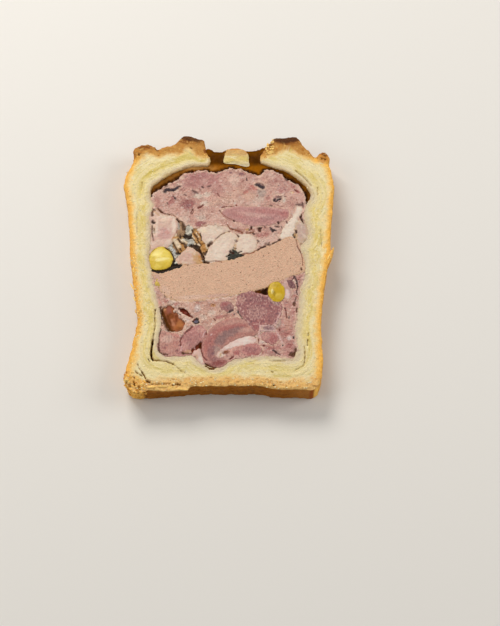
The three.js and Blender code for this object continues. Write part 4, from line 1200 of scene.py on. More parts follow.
# Strokes across the fillings: colour, strength, depth, and lines with a half width and a course
STROKES = [
    (JELLY_BROWN, 0.97, 0.25, [
        (0.55, [(-11.2, 3.4), (-10.1, 1.2), (-9.7, -0.8), (-9.1, -1.8), (-7.8, -1.9)]),
        (0.6, [(-30, 20.8), (-29.8, 18.4)]), (0.25, [(-30.2, 20.9), (-28.6, 20.7)]),
        (0.3, [(-29.7, 14), (-29.7, 11), (-29.3, 9), (-29, 7.6)]), (0.5, [(-26.8, 20.4), (-26, 19.6)]),
        (0.26, [(-27.6, 21.4), (-26.4, 19.8), (-25, 19.1), (-23.2, 18.8)]),
        (0.3, [(28.4, 18.8), (28.2, 17.4), (28.8, 15.8)]), (0.32, [(25.8, 10.2), (26.3, 11.6)]),
        (0.4, [(27.9, -4.4), (28, -4.9)]), (0.65, [(25, -18.8), (25, -19.6)]),
        (0.3, [(26, -21), (25.8, -22.6)]), (0.26, [(-25.2, -26.6), (-24.8, -28)]),
        (0.5, [(-25.4, -29.6), (-26.1, -33), (-25.8, -36.6), (-25.5, -39)]),
        (0.4, [(-25.2, -39.2), (-23.8, -39.7), (-22.6, -39.9)]), (0.5, [(-17, -39.1), (-16.6, -39.3)]),
        (0.24, [(-16.4, -39.4), (-13.6, -39.4)]), (0.5, [(-10.2, -35.6), (-10.4, -36.6)]),
        # Jelly brown beside the jelly pocket, partly painted shade in the crevice at its left edge
        (1.1, [(-25.6, -21.4), (-24.7, -24), (-23.5, -27), (-22.3, -29.2)]),
        (0.5, [(-22.2, -29.8), (-20.4, -30.2)]), (0.9, [(23.4, -39.8), (24.8, -39.4)]),
        (0.6, [(25, -39), (25.3, -37.6)]), (0.7, [(24.4, -40.2), (25.4, -39.6)]),
    ]),
    (DEEP_RED, 0.97, 0.25, [
        (0.45, [(-18.5, -21), (-17.4, -21.6), (-16.4, -22)]),
        (0.4, [(-15.4, -22.8), (-14.4, -23.8), (-13.4, -24.8)]),
        (0.45, [(-11.9, 21.8), (-10.9, 22.2), (-10.1, 22.9)]), (0.5, [(12, 11.7), (12.1, 12.4)]),
        (0.2, [(-14, 21.3), (-14.5, 20.2), (-14.8, 19.6), (-14.3, 19), (-13.9, 19.9), (-13.9, 20.8)]),
        (0.3, [(-2.8, 22), (-1.8, 22.1)]), (0.28, [(25.8, 29.9), (26.4, 29.2), (27, 28.9)]),
        (0.16, [(-4.6, 28.2), (-3.6, 26.6)]), (0.24, [(21.4, -20.9), (21.9, -22.4), (22.1, -25)]),
        (0.28, [(-5.4, -25.2), (-4.7, -26)]), (0.4, [(0.7, -41.6), (1.9, -40.8)]),
        (0.35, [(3, -41.6), (3.3, -41.9)]), (0.4, [(13.2, -36.2), (13.6, -36.3)]),
        (0.2, [(11.4, -33.6), (11.5, -35.2)]), (0.35, [(19.4, -29.6), (19.4, -30.1)]),
        (0.3, [(-8.2, -31), (-8.1, -31.7)]),
        (0.24, [(-9.9, -35.6), (-9.8, -38.6), (-9.2, -40.6), (-7.8, -42.2)]),
        (0.3, [(1.8, 16.1), (2.1, 15.9)]), (0.5, [(-13.5, -28.5), (-14.6, -29.8), (-15.3, -30.4)]),
        (0.25, [(-3.7, 20.6), (-3.4, 20.2)]),
        (0.32, [(-15.4, -30.4), (-16.6, -31.8), (-17.5, -33.2), (-17.8, -34.6), (-17.6, -36)]),
    ]),
    (RUST, 0.9, 0.15, [
        (0.22, [(-12.4, -40.6), (-11.6, -42.4), (-10, -44)]),
        (0.4, [(0.6, 12.6), (2, 12.2), (3.6, 11.7), (4.6, 11.4)]), (0.35, [(5, 11), (5.3, 10.6)]),
        (0.35, [(7, 10.6), (8.6, 10.8), (9.8, 11.2)]), (0.25, [(-0.6, 14.4), (0, 13.4), (0.6, 12.6)]),
        (0.3, [(8.2, 12), (8.8, 12.9)]), (0.3, [(3.2, 10), (3.9, 9.3)]), (0.4, [(2.9, 7.4), (3, 7.1)]),
        (0.28, [(-7.4, -1.8), (-5.5, -1.3), (-3.6, -1.4), (-2.6, -1.7)]),
        (0.32, [(5.4, 1.7), (7, 2), (8.6, 2), (9.8, 2.5)]), (0.2, [(10.2, 2.9), (12, 4), (13.4, 5)]),
        (0.2, [(26, 8), (26.6, 5), (27.8, 2.4), (28.4, 0), (28.4, -3)]),
        (0.22, [(-20.1, 17.2), (-19.5, 16), (-18.9, 15)]), (0.65, [(-7.7, 5.4), (-6.7, 6.7)]),
        (0.16, [(-23.2, 18.8), (-21.6, 18.5), (-20.4, 17.6)]),
        (0.2, [(-19.9, 12.6), (-20.3, 10.4), (-21.4, 8.4)]),
        (0.18, [(-3.6, 20.4), (-2.4, 18.9), (-1, 17.6), (0.2, 16.9), (2, 16)]),
        (0.14, [(-1.4, 22.1), (1.8, 22.4)]),
    ]),
    (TAN, 0.6, 0.1, [
        (0.2, [(-5.6, 7.3), (-4, 8.8), (-3, 10.1), (-1.4, 10.9), (0.4, 11.2)]),
        (0.5, [(2.6, 5.6), (2.4, 3.8)]), (0.6, [(25.4, 9.2), (25.9, 10.4)]),
        (0.3, [(-28.9, 12.8), (-28.6, 10.6)]), (0.4, [(-29, 20), (-27.2, 18.4)]),
    ]),
    (VEIN, 0.9, -0.06, [
        (0.36, [(17.5, -28.1), (18.6, -26), (19.7, -23)]),
        (0.34, [(12, -28.3), (14.6, -28), (17.5, -28.1)]),
        (0.34, [(12.2, -28.6), (11.6, -31), (12, -33)]),
        (0.38, [(17.6, -29.6), (19, -32), (20.4, -35)]), (0.3, [(12.6, -30), (15, -30.4), (17.4, -30)]),
        (0.22, [(-17.2, -36.4), (-17.4, -38.4)]), (0.3, [(-18, -32.2), (-17.6, -32.6)]),
        (0.24, [(-12.4, -36.6), (-12.4, -37.2)]), (0.25, [(-9.4, -32.6), (-9, -31.4), (-8.4, -30.4)]),
        (0.3, [(-6.4, -32), (-6, -31.6)]),
    ]),
    (INK, 0.96, 0.12, [
        (0.4, [(25.2, -7.8), (26, -9.6), (26.4, -12)]),
        (0.28, [(26.4, -12), (26, -13.8), (26.2, -15.4)]), (0.2, [(25.2, -7.8), (24.3, -9.4)]),
        (0.2, [(3.8, -22.8), (4.6, -24), (5.4, -25.4)]), (0.45, [(3.4, -22.4), (3.8, -22.5)]),
        (0.3, [(2.3, -23.7), (2.4, -23.4)]), (0.35, [(23, -24.3), (23, -24.9)]),
        (0.4, [(24.5, -32.5), (24.5, -33.2)]), (0.5, [(17, -38.2), (18.2, -39)]),
        (0.22, [(18.2, -39), (19.6, -39.9)]), (0.3, [(6.9, 34.9), (7.1, 33.9)]),
        (0.28, [(-10.4, 31), (-10, 30.6)]), (0.28, [(-22, 26.8), (-21, 26)]),
        (0.3, [(22.4, 34.6), (23.2, 34)]), (0.7, [(-29.6, 15.6), (-29.1, 15.1)]),
        (0.55, [(0.6, -22.4), (1.6, -21.9)]), (0.24, [(-0.4, -22.9), (0.6, -22.6)]),
    ]),
    (SMOKE, 0.9, 0.06, [
        (0.45, [(26.5, 23.3), (28, 23), (29, 22.5)]), (0.35, [(28.8, 24), (29, 22.2)]),
        (0.4, [(18.9, 26.4), (20.5, 26.6)]), (0.35, [(-14.4, 29.4), (-13.6, 28.9), (-12.4, 28.2)]),
        (0.3, [(-10.8, 31.1), (-10.3, 30.6)]), (0.4, [(-8.4, 31), (-7.4, 31.4)]),
        (0.3, [(21.8, 26.8), (22.3, 26.6)]), (0.5, [(18.2, 13.6), (19.4, 13.4)]),
        (0.35, [(13.8, 13.4), (14.2, 13)]), (0.35, [(22.4, 15.8), (22.7, 15)]),
        (0.4, [(11.2, 7.6), (11.6, 7)]), (0.3, [(25.7, -16.8), (25.2, -18.4)]),
        (0.45, [(2.6, 7.4), (3.2, 7.1)]), (0.3, [(20.4, 13.6), (20.6, 13)]),
        (0.4, [(16.2, 22.8), (16.8, 22.6)]), (0.5, [(22.3, 34.6), (22.8, 34)]),
        (0.3, [(-24.2, 24), (-23.8, 23.4)]), (0.35, [(-17.6, 27.6), (-16.8, 27.2)]),
    ]),
    (NAVY, 0.97, 0.15, [
        (0.6, [(16.2, 12.8), (16.6, 12.2), (17.2, 11.6)]), (0.5, [(17, 12.2), (18.1, 11.8)]),
        (0.5, [(17.7, 24.8), (18, 25.5)]), (0.35, [(18.4, 24.5), (19, 24.9)]),
        (0.42, [(19.2, 25.3), (20.2, 25.5)]), (0.85, [(11, 32), (12.2, 31.3), (13.3, 30.7)]),
        (0.8, [(-25.2, 28.8), (-25, 29.5), (-24.4, 29.8), (-23.4, 29.6), (-22.2, 29.5)]),
        (0.55, [(-22.2, 29.5), (-21.2, 30), (-20.2, 30.8)]), (0.26, [(-20.2, 30.8), (-19, 31.4)]),
        (0.35, [(-21.2, 25.8), (-20.8, 25.5)]),
    ]),
    (DEEP_BROWN, 0.97, 0.3, [
        (0.75, [(11.8, 12.6), (12, 11.8)]), (0.3, [(12.6, 12.8), (13, 13.2)]),
        (0.45, [(19.2, 15.4), (19.4, 14.9)]), (0.5, [(12.6, 4.4), (13.4, 4.7), (14, 5)]),
        (0.3, [(11.2, 3.4), (12, 3.9)]), (0.35, [(16.9, 6.1), (17.4, 6.4)]),
        (0.25, [(17.6, 6.5), (18.8, 7)]), (0.5, [(19.4, 7.6), (20, 7.8)]),
        (0.3, [(1.8, 16.1), (2.1, 15.9)]), (0.45, [(8, 12.2), (8.8, 12.6)]),
        (0.35, [(8.6, 13), (8.9, 13.3)]), (0.4, [(9.4, 10.6), (9.8, 10.3)]),
        (0.4, [(26, 11.8), (26.3, 11)]), (0.4, [(25, 10), (25.6, 8.8)]),
        (0.5, [(27.9, 17.9), (28.3, 16.6)]), (0.2, [(28.3, 16.2), (29.2, 15)]),
        (0.6, [(-29.6, 15.8), (-29, 15.2)]), (0.5, [(0.8, 3), (1.2, 2.4), (1.8, 2)]),
        (0.32, [(3.6, 9.6), (4, 9.1)]), (0.3, [(1.9, 4.4), (2.9, 4)]),
    ]),
    (DEEP_BROWN, 0.6, 0.1, [
        (0.6, [(14.4, 6.2), (15, 5.7)]), (0.55, [(15.6, 6.4), (15.8, 5.6)]),
        (0.2, [(26.4, 5), (27, 3.6), (28, 2)]), (0.4, [(-29, 12.6), (-28.8, 10.8)]),
        (0.25, [(-5, 8.2), (-4, 9), (-3, 10), (-1.6, 10.8)]),
    ]),
    (CARAMEL, 0.9, 0.0, [
        (0.45, [(-21.6, 8), (-20.4, 9.6)]), (0.7, [(-18.2, 6), (-17.2, 5.4), (-17.6, 4.2), (-18.4, 3)]),
        (0.6, [(-13.6, 10.8), (-12.8, 9.4), (-11.8, 7.8)]),
        (0.45, [(-12.2, 11.4), (-11.2, 9.8), (-10.8, 8.4)]), (1.0, [(-9.9, 5.2), (-9.5, 3.4)]),
        (0.5, [(-10.6, 6.4), (-9.8, 5.4)]),
    ]),
    (IVORY, 0.92, -0.1, [
        (0.7, [(-21, 7.6), (-20, 6.4), (-19.2, 5)]), (0.32, [(-8.6, 5.8), (-8.2, 4.2)]),
        (0.4, [(-13.2, 6.6), (-12.9, 6)]), (0.6, [(-18.6, 7.6), (-17.2, 7.2), (-16.2, 6.8)]),
        (0.5, [(-11.6, 5.9), (-11, 5.6)]), (0.3, [(-14.4, 9.8), (-13.2, 8.2)]),
        (0.35, [(-20.6, 9.4), (-20.2, 10.2)]), (0.22, [(-12.6, 10.8), (-11.4, 8.8)]),
    ]),
    (BLUE_GREY, 0.9, 0.0, [
        (0.45, [(-19.6, 15), (-19.3, 12.6)]), (0.55, [(-14.4, 7.4), (-14, 6.4)]),
        (0.7, [(-15.6, 13.6), (-15.8, 11.4)]), (0.45, [(-16.4, 8.2), (-15.4, 7.4)]),
        (0.5, [(-19.8, 1), (-19.2, 1.4)]),
    ]),
    (GREEN_WHITE, 0.9, 0.0, [
        (0.5, [(-20.6, 0.6), (-20, 0.9)]), (0.5, [(-17.6, 8.2), (-16.9, 7.8)]),
        (0.4, [(-20.4, -2.2), (-20, -1.8)]),
    ]),
    (BARK, 0.97, 0.3, [
        (0.34, [(-21.4, 6.6), (-20.8, 5.4), (-20, 3.8), (-19.2, 2.6)]),
        (0.42, [(-19.5, 8.2), (-18.8, 7), (-18, 6.2)]),
        (0.75, [(-17.8, 14.8), (-17.6, 13.6), (-17.4, 12.6)]), (0.35, [(-20.2, 16.8), (-19.4, 15.6)]),
        (0.34, [(-13.4, 10.4), (-12.4, 9), (-11.9, 8.2)]),
        (0.24, [(-12, 7.6), (-11.2, 6.4), (-10.6, 5.4)]),
        (0.26, [(-11, 10.6), (-10.6, 9), (-10.6, 7.4)]), (0.4, [(-14.2, 12), (-13.8, 11.2)]),
        (0.35, [(-18.8, 9.8), (-18.5, 8.6)]), (0.4, [(-9.6, 2.4), (-9, 1.4), (-8.5, 2.8)]),
        (0.4, [(-11.4, 3.6), (-10.6, 2.2), (-10, 0.6), (-9.6, -0.8)]),
        (0.5, [(-9.4, -1.6), (-7.9, -1.9)]), (0.7, [(-7.7, 5.4), (-6.9, 6.4)]),
        (0.5, [(-17.2, 6.2), (-16.6, 4.8)]),
        (0.25, [(-24.4, 4.4), (-22.6, 3), (-21.4, 1), (-21, -0.6), (-21.4, -2)]),
        (0.35, [(-18.6, 4), (-18.2, 3.2)]),
    ]),
    (BLACK, 0.97, 0.3, [
        (0.7, [(-16.2, 9.2), (-15.2, 8.7)]), (0.45, [(-14.4, 5.6), (-13.6, 5.2)]),
        (0.5, [(-12.8, 4.8), (-12, 4.2)]), (0.3, [(0.4, 1.2), (-0.8, 0.6)]),
        (0.3, [(3.4, 2.2), (5, 2.8)]), (0.25, [(1.6, 3.2), (1.4, 3.8)]),
        (0.25, [(0.6, 2.2), (0.3, 2.8)]), (0.5, [(-20, 2), (-18.8, 2)]),
        (0.45, [(-27.8, -5.5), (-25, -5.4), (-23, -4.6), (-21.2, -3.4)]),
        (0.4, [(-21.2, -2.8), (-20.6, -3.4), (-19, -3.2)]), (0.3, [(-14.6, 10.4), (-14.4, 9.6)]),
        (0.4, [(-19, -3), (-18, -3)]),
    ]),
]

BASE = {
    "forcemeat": PINK, "muscle": MAUVE, "poultry": CREAM, "mousse": MOUSSE_TAN, "fat": FAT_WHITE,
    "pistachio": NUT_YELLOW, "mushroom": TAN, "truffle": BLACK, "jelly": JELLY_RED,
}
OWN_BASE = {
    "muscle_curl": tone(174, 119, 108), "muscle_lens": tone(184, 134, 128),
    "muscle_fold": tone(200, 150, 135), "muscle_left": tone(184, 126, 119),
    "muscle_corner": tone(188, 136, 122), "muscle_under": tone(190, 128, 121),
    "muscle_lobe": tone(172, 114, 110), "muscle_fascia": tone(168, 138, 138),
    "muscle_side": tone(104, 60, 66), "poultry_left": tone(206, 172, 154),
    "poultry_lower": tone(204, 168, 146), "poultry_side": tone(192, 164, 140), "poultry_strip": LINEN,
    "fat_side": tone(178, 146, 138), "fat_wedge": tone(208, 174, 160),
    "forcemeat_left": tone(209, 166, 147), "forcemeat_right": tone(192, 141, 131),
    "mushroom_white": GREEN_WHITE, "mushroom_pale": tone(190, 188, 180),
    "mushroom_grey": tone(194, 190, 180), "mushroom_curl": tone(190, 146, 92),
    "mushroom_stalk": tone(164, 128, 94), "mushroom_fold": tone(190, 142, 84),
    "truffle_strip": tone(176, 134, 124), "truffle_knot": tone(172, 132, 124),
    "truffle_shard": tone(158, 124, 116), "black_mushroom_tuft": tone(52, 52, 44),
    "black_mushroom_wedge": tone(22, 14, 12), "pistachio_right": NUT_OLIVE,
    "jelly_drop": tone(104, 40, 24), "jelly_seam": tone(116, 54, 38), "jelly_wedge": tone(36, 16, 4),
    "black_mushroom_line": tone(74, 48, 26), "jelly_foot": tone(92, 56, 18),
    "jelly_link": tone(84, 48, 18),
}

# Each kind of cut face: how far it overlaps its neighbours, how far its edge falls, how ragged its outline
# is as a size and a reach, and its relief as sizes and heights
OVERLAP = {"forcemeat": 0.55, "muscle": 0.5, "poultry": 0.45, "mousse": 0.5, "fat": 0.45, "jelly": 0.4}
LEAST_OVERLAP = 0.25
EDGE_FALL = {
    "forcemeat": 0.06, "muscle": 0.06, "poultry": 0.1, "mousse": 0.04, "fat": 0.08, "pistachio": 0.0,
    "mushroom": 0.25, "truffle": 0.12, "jelly": 0.0,
}
# The width of the falling edge in overlaps
EDGE_WIDTH = 2.2
RAGGED = {
    "forcemeat": (1.6, 0.6), "muscle": (1.6, 0.35), "poultry": (2.2, 0.7), "mousse": (1.0, 0.3),
    "fat": (1.2, 0.4), "pistachio": (3.0, 0.15), "mushroom": (0.9, 0.6), "truffle": (0.8, 0.5),
    "jelly": (1.2, 0.4),
}
OWN_RAGGED = {
    "poultry_strip": (2.0, 0.2), "jelly_pocket": (1.2, 0.15), "black_mushroom_tuft": (0.7, 1.0),
    "jelly_drop": (0.8, 0.8), "fat_wedge": (1.0, 0.8),
}
RELIEF = {
    "forcemeat": [(2.6, 0.16), (1.1, 0.14), (0.6, 0.08)],
    "muscle": [(1.4, 0.08), (0.6, 0.045)],
    "poultry": [(2.2, 0.1), (0.8, 0.05)],
    "mousse": [(3.0, 0.05), (0.6, 0.05)],
    "fat": [(1.5, 0.08)],
    "pistachio": [(2.0, 0.1), (0.8, 0.03)],
    "mushroom": [(1.3, 0.22), (0.6, 0.08)],
    "truffle": [(1.0, 0.14), (0.5, 0.06)],
    "jelly": [(2.0, 0.1)],
}
# The tint along a piece's edge, its strength and how far in it reaches, and the wobble of its line as a
# height and a size
EDGE_TINT = {
    "forcemeat": (PEACH, 0.7, 1.0), "muscle": (PINK, 0.2, 0.9), "poultry": (TAN, 0.15, 0.7),
    # On the pistachios the edge tint is painted shade round the domed rim
    "fat": (PINK, 0.55, 0.7), "mousse": (TAN, 0.25, 0.5), "pistachio": (NUT_SHADE, 0.75, 1.2),
    "mushroom": (BARK, 0.35, 0.45), "truffle": (SLATE, 0.0, 0.4), "jelly": (JELLY_EDGE, 0.3, 0.7),
}
TINT_WOBBLE = (0.3, 1.2)
# Forcemeat that leaves the jelly beside it bare, how far it draws back, and from where to where
BESIDE_JELLY = {"forcemeat_top": ("jelly", 0.6), "forcemeat_left": ("jelly_pocket", 0.3)}
JELLY_BARE = (0.8, 2.2)
# Seams between the lumps of forcemeat: the lumps' size, the seams' depth and the darkness of their painted
# shade, and how open they stand in patches of a size, as a mean and a range
SEAM_SIZE = 1.5
SEAM_DEPTH = 0.16
SEAM_SHADE = 0.22
SEAM_PATCH = 5.0
SEAM_OPEN = (0.6, 0.9)
SMALL_KINDS = ("mushroom", "truffle")
NUT_DOME = 0.5
NUT_ROUND = 2.2
JELLY_SINK = 0.3
JELLY_LIP = 0.8
# How open the fibres of the muscles stand
OPEN_FIBRE = {"muscle_large": 1.0, "muscle_lens": 0.3, "muscle_curl": 0.3}
FIBRE = 0.55


def slot_of(node):
    rows = frame["record"]["subparts"]
    return next(row["material_slot"] for row in rows if row["node"] == node)


def edge_tinted(skin, colour, slot, overlap, seed):
    """The colours with the tint of their kind along the piece's edge."""
    tint, strength, reach = EDGE_TINT[slot]
    height, size = TINT_WOBBLE
    inward = skin.rim - overlap + height * ripple(skin.points, size, seed)
    return blend(colour, tint, strength * (1.0 - step_up(0.0, reach, inward)))


def jelly_colours(skin):
    """Deep brown by the meat and on the right, amber by the dough and up the chimneys."""
    x, y = skin.plan.T
    # The deep brown along the meat is partly deeper jelly and partly painted shade at the meat's edge
    away = nearest_on(places_of("forcemeat_top"), skin.plan)[0] + 0.5 * ripple(skin.points, 2.0, 31)
    amber = step_up(0.3, 1.8, away) * (0.95 - 0.5 * step_up(12.0, 17.0, x))
    amber *= 1.0 - 0.4 * step_up(-16.0, -19.0, x)
    amber = amber * (1.0 - 0.8 * step_up(40.0, 42.5, y)) + 0.3 * step_up(44.5, 47.0, y)
    colour = blend(np.tile(JELLY_DEEP, (len(x), 1)), JELLY_AMBER, np.clip(amber, 0.0, 1.0))
    pale = step_up(-2.0, -12.0, x) * (1.0 - 0.85 * step_up(-15.0, -19.0, x)) * step_up(42.0, 39.0, y)
    return blend(colour, JELLY_PALE, 0.9 * step_up(0.8, 1.8, away) * pale)


def filling_piece(node, seed):
    """One piece of the filling with the relief, the washes and the strokes of its kind and place."""
    slot = slot_of(node)
    overlap = OVERLAP.get(slot, LEAST_OVERLAP)
    skin = Skin(node, SMALL_FINE if slot in SMALL_KINDS else FINE, overlap)
    size, reach = OWN_RAGGED.get(node, RAGGED[slot])
    raggedness = reach * ripple(skin.points, size, seed + 5)
    if node in BESIDE_JELLY:
        beside, drawn_back = BESIDE_JELLY[node]
        away = nearest_on(places_of(beside), skin.plan)[0]
        raggedness -= drawn_back * (1.0 - step_up(*JELLY_BARE, away))
    skin.tear(raggedness)
    colour, painted = washed(skin, OWN_BASE.get(node, BASE[slot]), WASHES.get(node, []), seed)
    if node == "jelly":
        colour = jelly_colours(skin)
    else:
        colour = edge_tinted(skin, colour, slot, overlap, seed + 3)
    colour, painted = stroked(skin, colour, painted, seed + 7)
    seam = np.zeros(len(skin.points))
    for size, height in RELIEF[slot]:
        skin.swell(height * ripple(skin.points, size, seed + size))
    if slot == "forcemeat":
        mean, span = SEAM_OPEN
        seam_open = np.clip(mean + span * ripple(skin.points, SEAM_PATCH, seed), 0.0, 1.0)
        seam = lumps(skin.points, SEAM_SIZE, seed) * seam_open
        skin.lower(SEAM_DEPTH * seam)
    skin.lower(EDGE_FALL[slot] * (1.0 - step_up(0.0, EDGE_WIDTH * overlap, skin.rim)))
    if slot == "pistachio":
        skin.lower(NUT_DOME * np.clip(1.0 - skin.rim / skin.rim.max(), 0.0, 1.0) ** NUT_ROUND)
    if slot == "jelly":
        skin.lower(JELLY_SINK * step_up(0.0, JELLY_LIP, skin.rim))
    fibre = np.full(len(skin.points), OPEN_FIBRE.get(node, FIBRE))
    skin.write(FINISH[slot], slot, colour, crevice=SEAM_SHADE * seam, fibre=fibre, painted=painted)


# Small bits on the cut face

# Bits by kind and colour, each x, y, half sizes and turn
BITS = [
    ("truffle", BLACK, [
        (16.8, 12.2, 0.7, 0.45, -40), (12.2, 31.3, 1.1, 0.35, -32), (18.8, 13.5, 0.4, 0.3, 20),
        (19.8, 25.4, 0.4, 0.3, 10), (24.6, -33, 0.3, 0.5, 0), (3.6, -22.4, 0.4, 0.35, 0),
        (17.5, -38.5, 0.6, 0.35, -35), (-29.6, 15.4, 0.5, 0.5, 0),
    ]),
    ("truffle", INK, [
        (7, 34.4, 0.25, 0.6, -8), (15.2, 5.8, 0.5, 0.35, 20), (20.5, -36, 0.4, 0.35, 0),
        (-24, -16.2, 0.45, 0.4, -20),
    ]),
    ("muscle", DEEP_RED, [
        (-11.2, 22.1, 0.7, 0.45, 30), (-10.3, 22.8, 0.4, 0.22, 40), (12, 12, 0.45, 0.6, -20),
        (-2.3, 22, 0.5, 0.3, 5), (26.3, 29.2, 0.5, 0.3, -50), (1.3, -41.2, 0.7, 0.3, 35),
        (13.4, -36.2, 0.4, 0.3, -30), (-5, -25.6, 0.5, 0.25, -50), (-16, -22.8, 0.8, 0.7, 0),
    ]),
    ("muscle", RUST, [
        (1.2, 12.4, 0.4, 0.35, 0), (2.6, 12.1, 0.5, 0.35, 20), (4.2, 11.6, 0.45, 0.35, 0),
        (5.3, 11, 0.4, 0.3, 30), (8.3, 10.8, 0.4, 0.3, 0), (9.7, 11.1, 0.4, 0.3, 0),
        (8.5, 12.4, 0.4, 0.3, 60), (3.7, 9.6, 0.35, 0.45, -30), (-7.2, 6, 0.5, 0.7, -35),
        (-5.7, -19.4, 0.5, 0.5, 0), (-0.8, -38.8, 0.7, 0.5, 0),
    ]),
    ("fat", FAT_WHITE, [
        (24.6, 28.4, 0.6, 0.3, 10), (-12, 12, 0.4, 0.35, 0), (2.4, 23.6, 0.4, 0.6, 0),
        (23, -33.2, 0.6, 0.8, 0), (-11.6, -21, 0.7, 0.7, 30), (13.2, -34.7, 0.8, 0.4, 0),
        (-6.2, -27.4, 0.5, 0.6, 0),
    ]),
    ("mushroom", TAN, [(7.2, 12.2, 0.6, 0.4, 0), (2.6, 4.4, 0.4, 0.6, 0), (25.6, 9.8, 0.5, 0.6, 0)]),
    ("pistachio", NUT_CHIP, [(-26.8, -10.9, 1.0, 1.5, 10), (-27.2, -9.2, 0.5, 0.6, 0)]),
]

# Flecks strewn in the fillings: kind, colour, filling, number, smallest and largest half size
STREWN = [
    ("muscle", RED, "forcemeat_top", 60, 0.14, 0.34),
    ("muscle", RED, "forcemeat_left", 26, 0.14, 0.34),
    ("muscle", RED, "forcemeat_right", 22, 0.14, 0.34),
    ("fat", PALE_PINK, "forcemeat_top", 90, 0.18, 0.45),
    ("fat", PALE_PINK, "forcemeat_left", 40, 0.18, 0.45),
    ("fat", PALE_PINK, "forcemeat_right", 34, 0.18, 0.45),
    ("truffle", SLATE, "forcemeat_top", 16, 0.12, 0.26),
    ("truffle", SLATE, "forcemeat_right", 8, 0.12, 0.24),
    ("muscle", SPICE_DARK, "liver_mousse", 28, 0.1, 0.22),
    ("fat", MOUSSE_FAT, "liver_mousse", 26, 0.1, 0.22),
]
BIT_NAMES = {
    "truffle": "black_specks", "muscle": "red_flecks", "mushroom": "mushroom_bits", "fat": "fat_flecks",
    "pistachio": "pistachio_chips", "dough": "crumbs",
}
# Loose flakes of dough: x, y, half sizes, turn and tilt
FLAKES = [
    (-37.4, -50, 1.0, 0.9, 0.8, 20, 0), (-36.4, -50.8, 0.8, 0.6, 0.5, -30, 10),
    (-36.6, -12, 1.9, 0.3, 0.3, -62, 0), (-36.4, -5, 1.4, 0.28, 0.25, 86, 0),
    (-35.6, -17, 1.2, 0.3, 0.3, -70, 0), (-35, -22, 1.0, 0.28, 0.25, -75, 0),
    (-28, -52.6, 2.0, 0.5, 0.3, 4, 0), (-24.2, -52.4, 2.2, 0.55, 0.3, -3, 0),
    (-20.6, -52.8, 1.8, 0.6, 0.3, -8, 5), (-17.6, -53.2, 1.6, 0.5, 0.3, -12, 5),
    (-15.6, -53.6, 1.1, 0.3, 0.25, -6, 0), (38.6, 0.6, 1.8, 0.4, 0.3, 64, 10),
    (-33.4, -49.4, 1.0, 0.6, 0.4, -50, 15), (-31.4, -51.6, 0.9, 0.6, 0.4, 30, 10),
    (15.4, 50.2, 0.5, 0.9, 0.3, 0, 10), (16.6, 48.2, 0.6, 0.5, 0.4, 30, 0),
]

# A lump's height as a share of its width and within limits, how deep it sits, and how rough bits are
LUMP_RISE = 0.6
LUMP_LEAST, LUMP_MOST = 0.14, 0.6
LUMP_SUNK = 0.6
FLECK_SUNK = 0.7
LUMP_ROUGH = 0.45
FLAKE_ROUGH = 0.4
# The darkest and the lightest shade of a bit's colour
SHADES = (0.8, 1.2)
BITS_SEED = 7
CRUMBS_SEED = 11


class Bits:
    """Small lumps of one kind, joined in one piece."""

    def __init__(self, slot):
        self.slot = slot
        self.shape = bmesh.new()
        self.wash = self.shape.verts.layers.float_color.new("wash")

    def add(self, matrix, rough, colour, detail):
        made = bmesh.ops.create_icosphere(self.shape, subdivisions=detail, radius=1.0, matrix=matrix)
        for corner in made["verts"]:
            corner.co += noise.noise_vector(corner.co / ROUGH_SIZE) * rough
            corner[self.wash] = (*colour, 1.0)

    def lump(self, spot, half, turn, colour, detail=2, sunk=LUMP_SUNK):
        """A rough lump that sits partly sunk in the face under it."""
        long, wide = half
        high = min(max(LUMP_RISE * wide, LUMP_LEAST), LUMP_MOST)
        place = Matrix.Translation(Vector(spot) - Vector((0.0, 0.0, sunk * high)))
        form = Matrix.Rotation(math.radians(turn), 4, "Z") @ Matrix.Diagonal((long, wide, high, 1.0))
        self.add(place @ form, LUMP_ROUGH * wide, colour, detail)

    def flake(self, spot, half, turns, colour):
        """A thin angular flake that lies any way up."""
        turned = Euler([math.radians(turn) for turn in turns]).to_matrix().to_4x4()
        matrix = Matrix.Translation(spot) @ turned @ Matrix.Diagonal((*half, 1.0))
        self.add(matrix, FLAKE_ROUGH * half[1], colour, 1)

    def finish(self, smooth=True):
        into_frame = Matrix.Scale(MM, 4) @ Matrix.Translation(SHIFT.to_3d())
        bmesh.ops.transform(self.shape, matrix=into_frame, verts=self.shape.verts)
        for face in self.shape.faces:
            face.smooth = smooth
        mesh = bpy.data.meshes.new(BIT_NAMES[self.slot])
        self.shape.to_mesh(mesh)
        self.shape.free()
        mesh.materials.append(FINISH[self.slot])
        piece = new_piece(BIT_NAMES[self.slot], mesh)
        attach(piece, "root")


def finished_face():
    """All points of the finished cut face, with a search tree for finding the height at a place."""
    points = np.concatenate(list(CUT_POINTS.values()))
    return tree_of(points[:, :2]), points[:, 2].tolist()


def on_face(x, y):
    tree, heights = FACE
    return (x, y, heights[tree.find((x, y, 0.0))[1]])


def shade(colour, draw):
    """A colour a little lighter or darker by chance."""
    return np.clip(colour * draw.uniform(*SHADES), 0.0, 1.0)


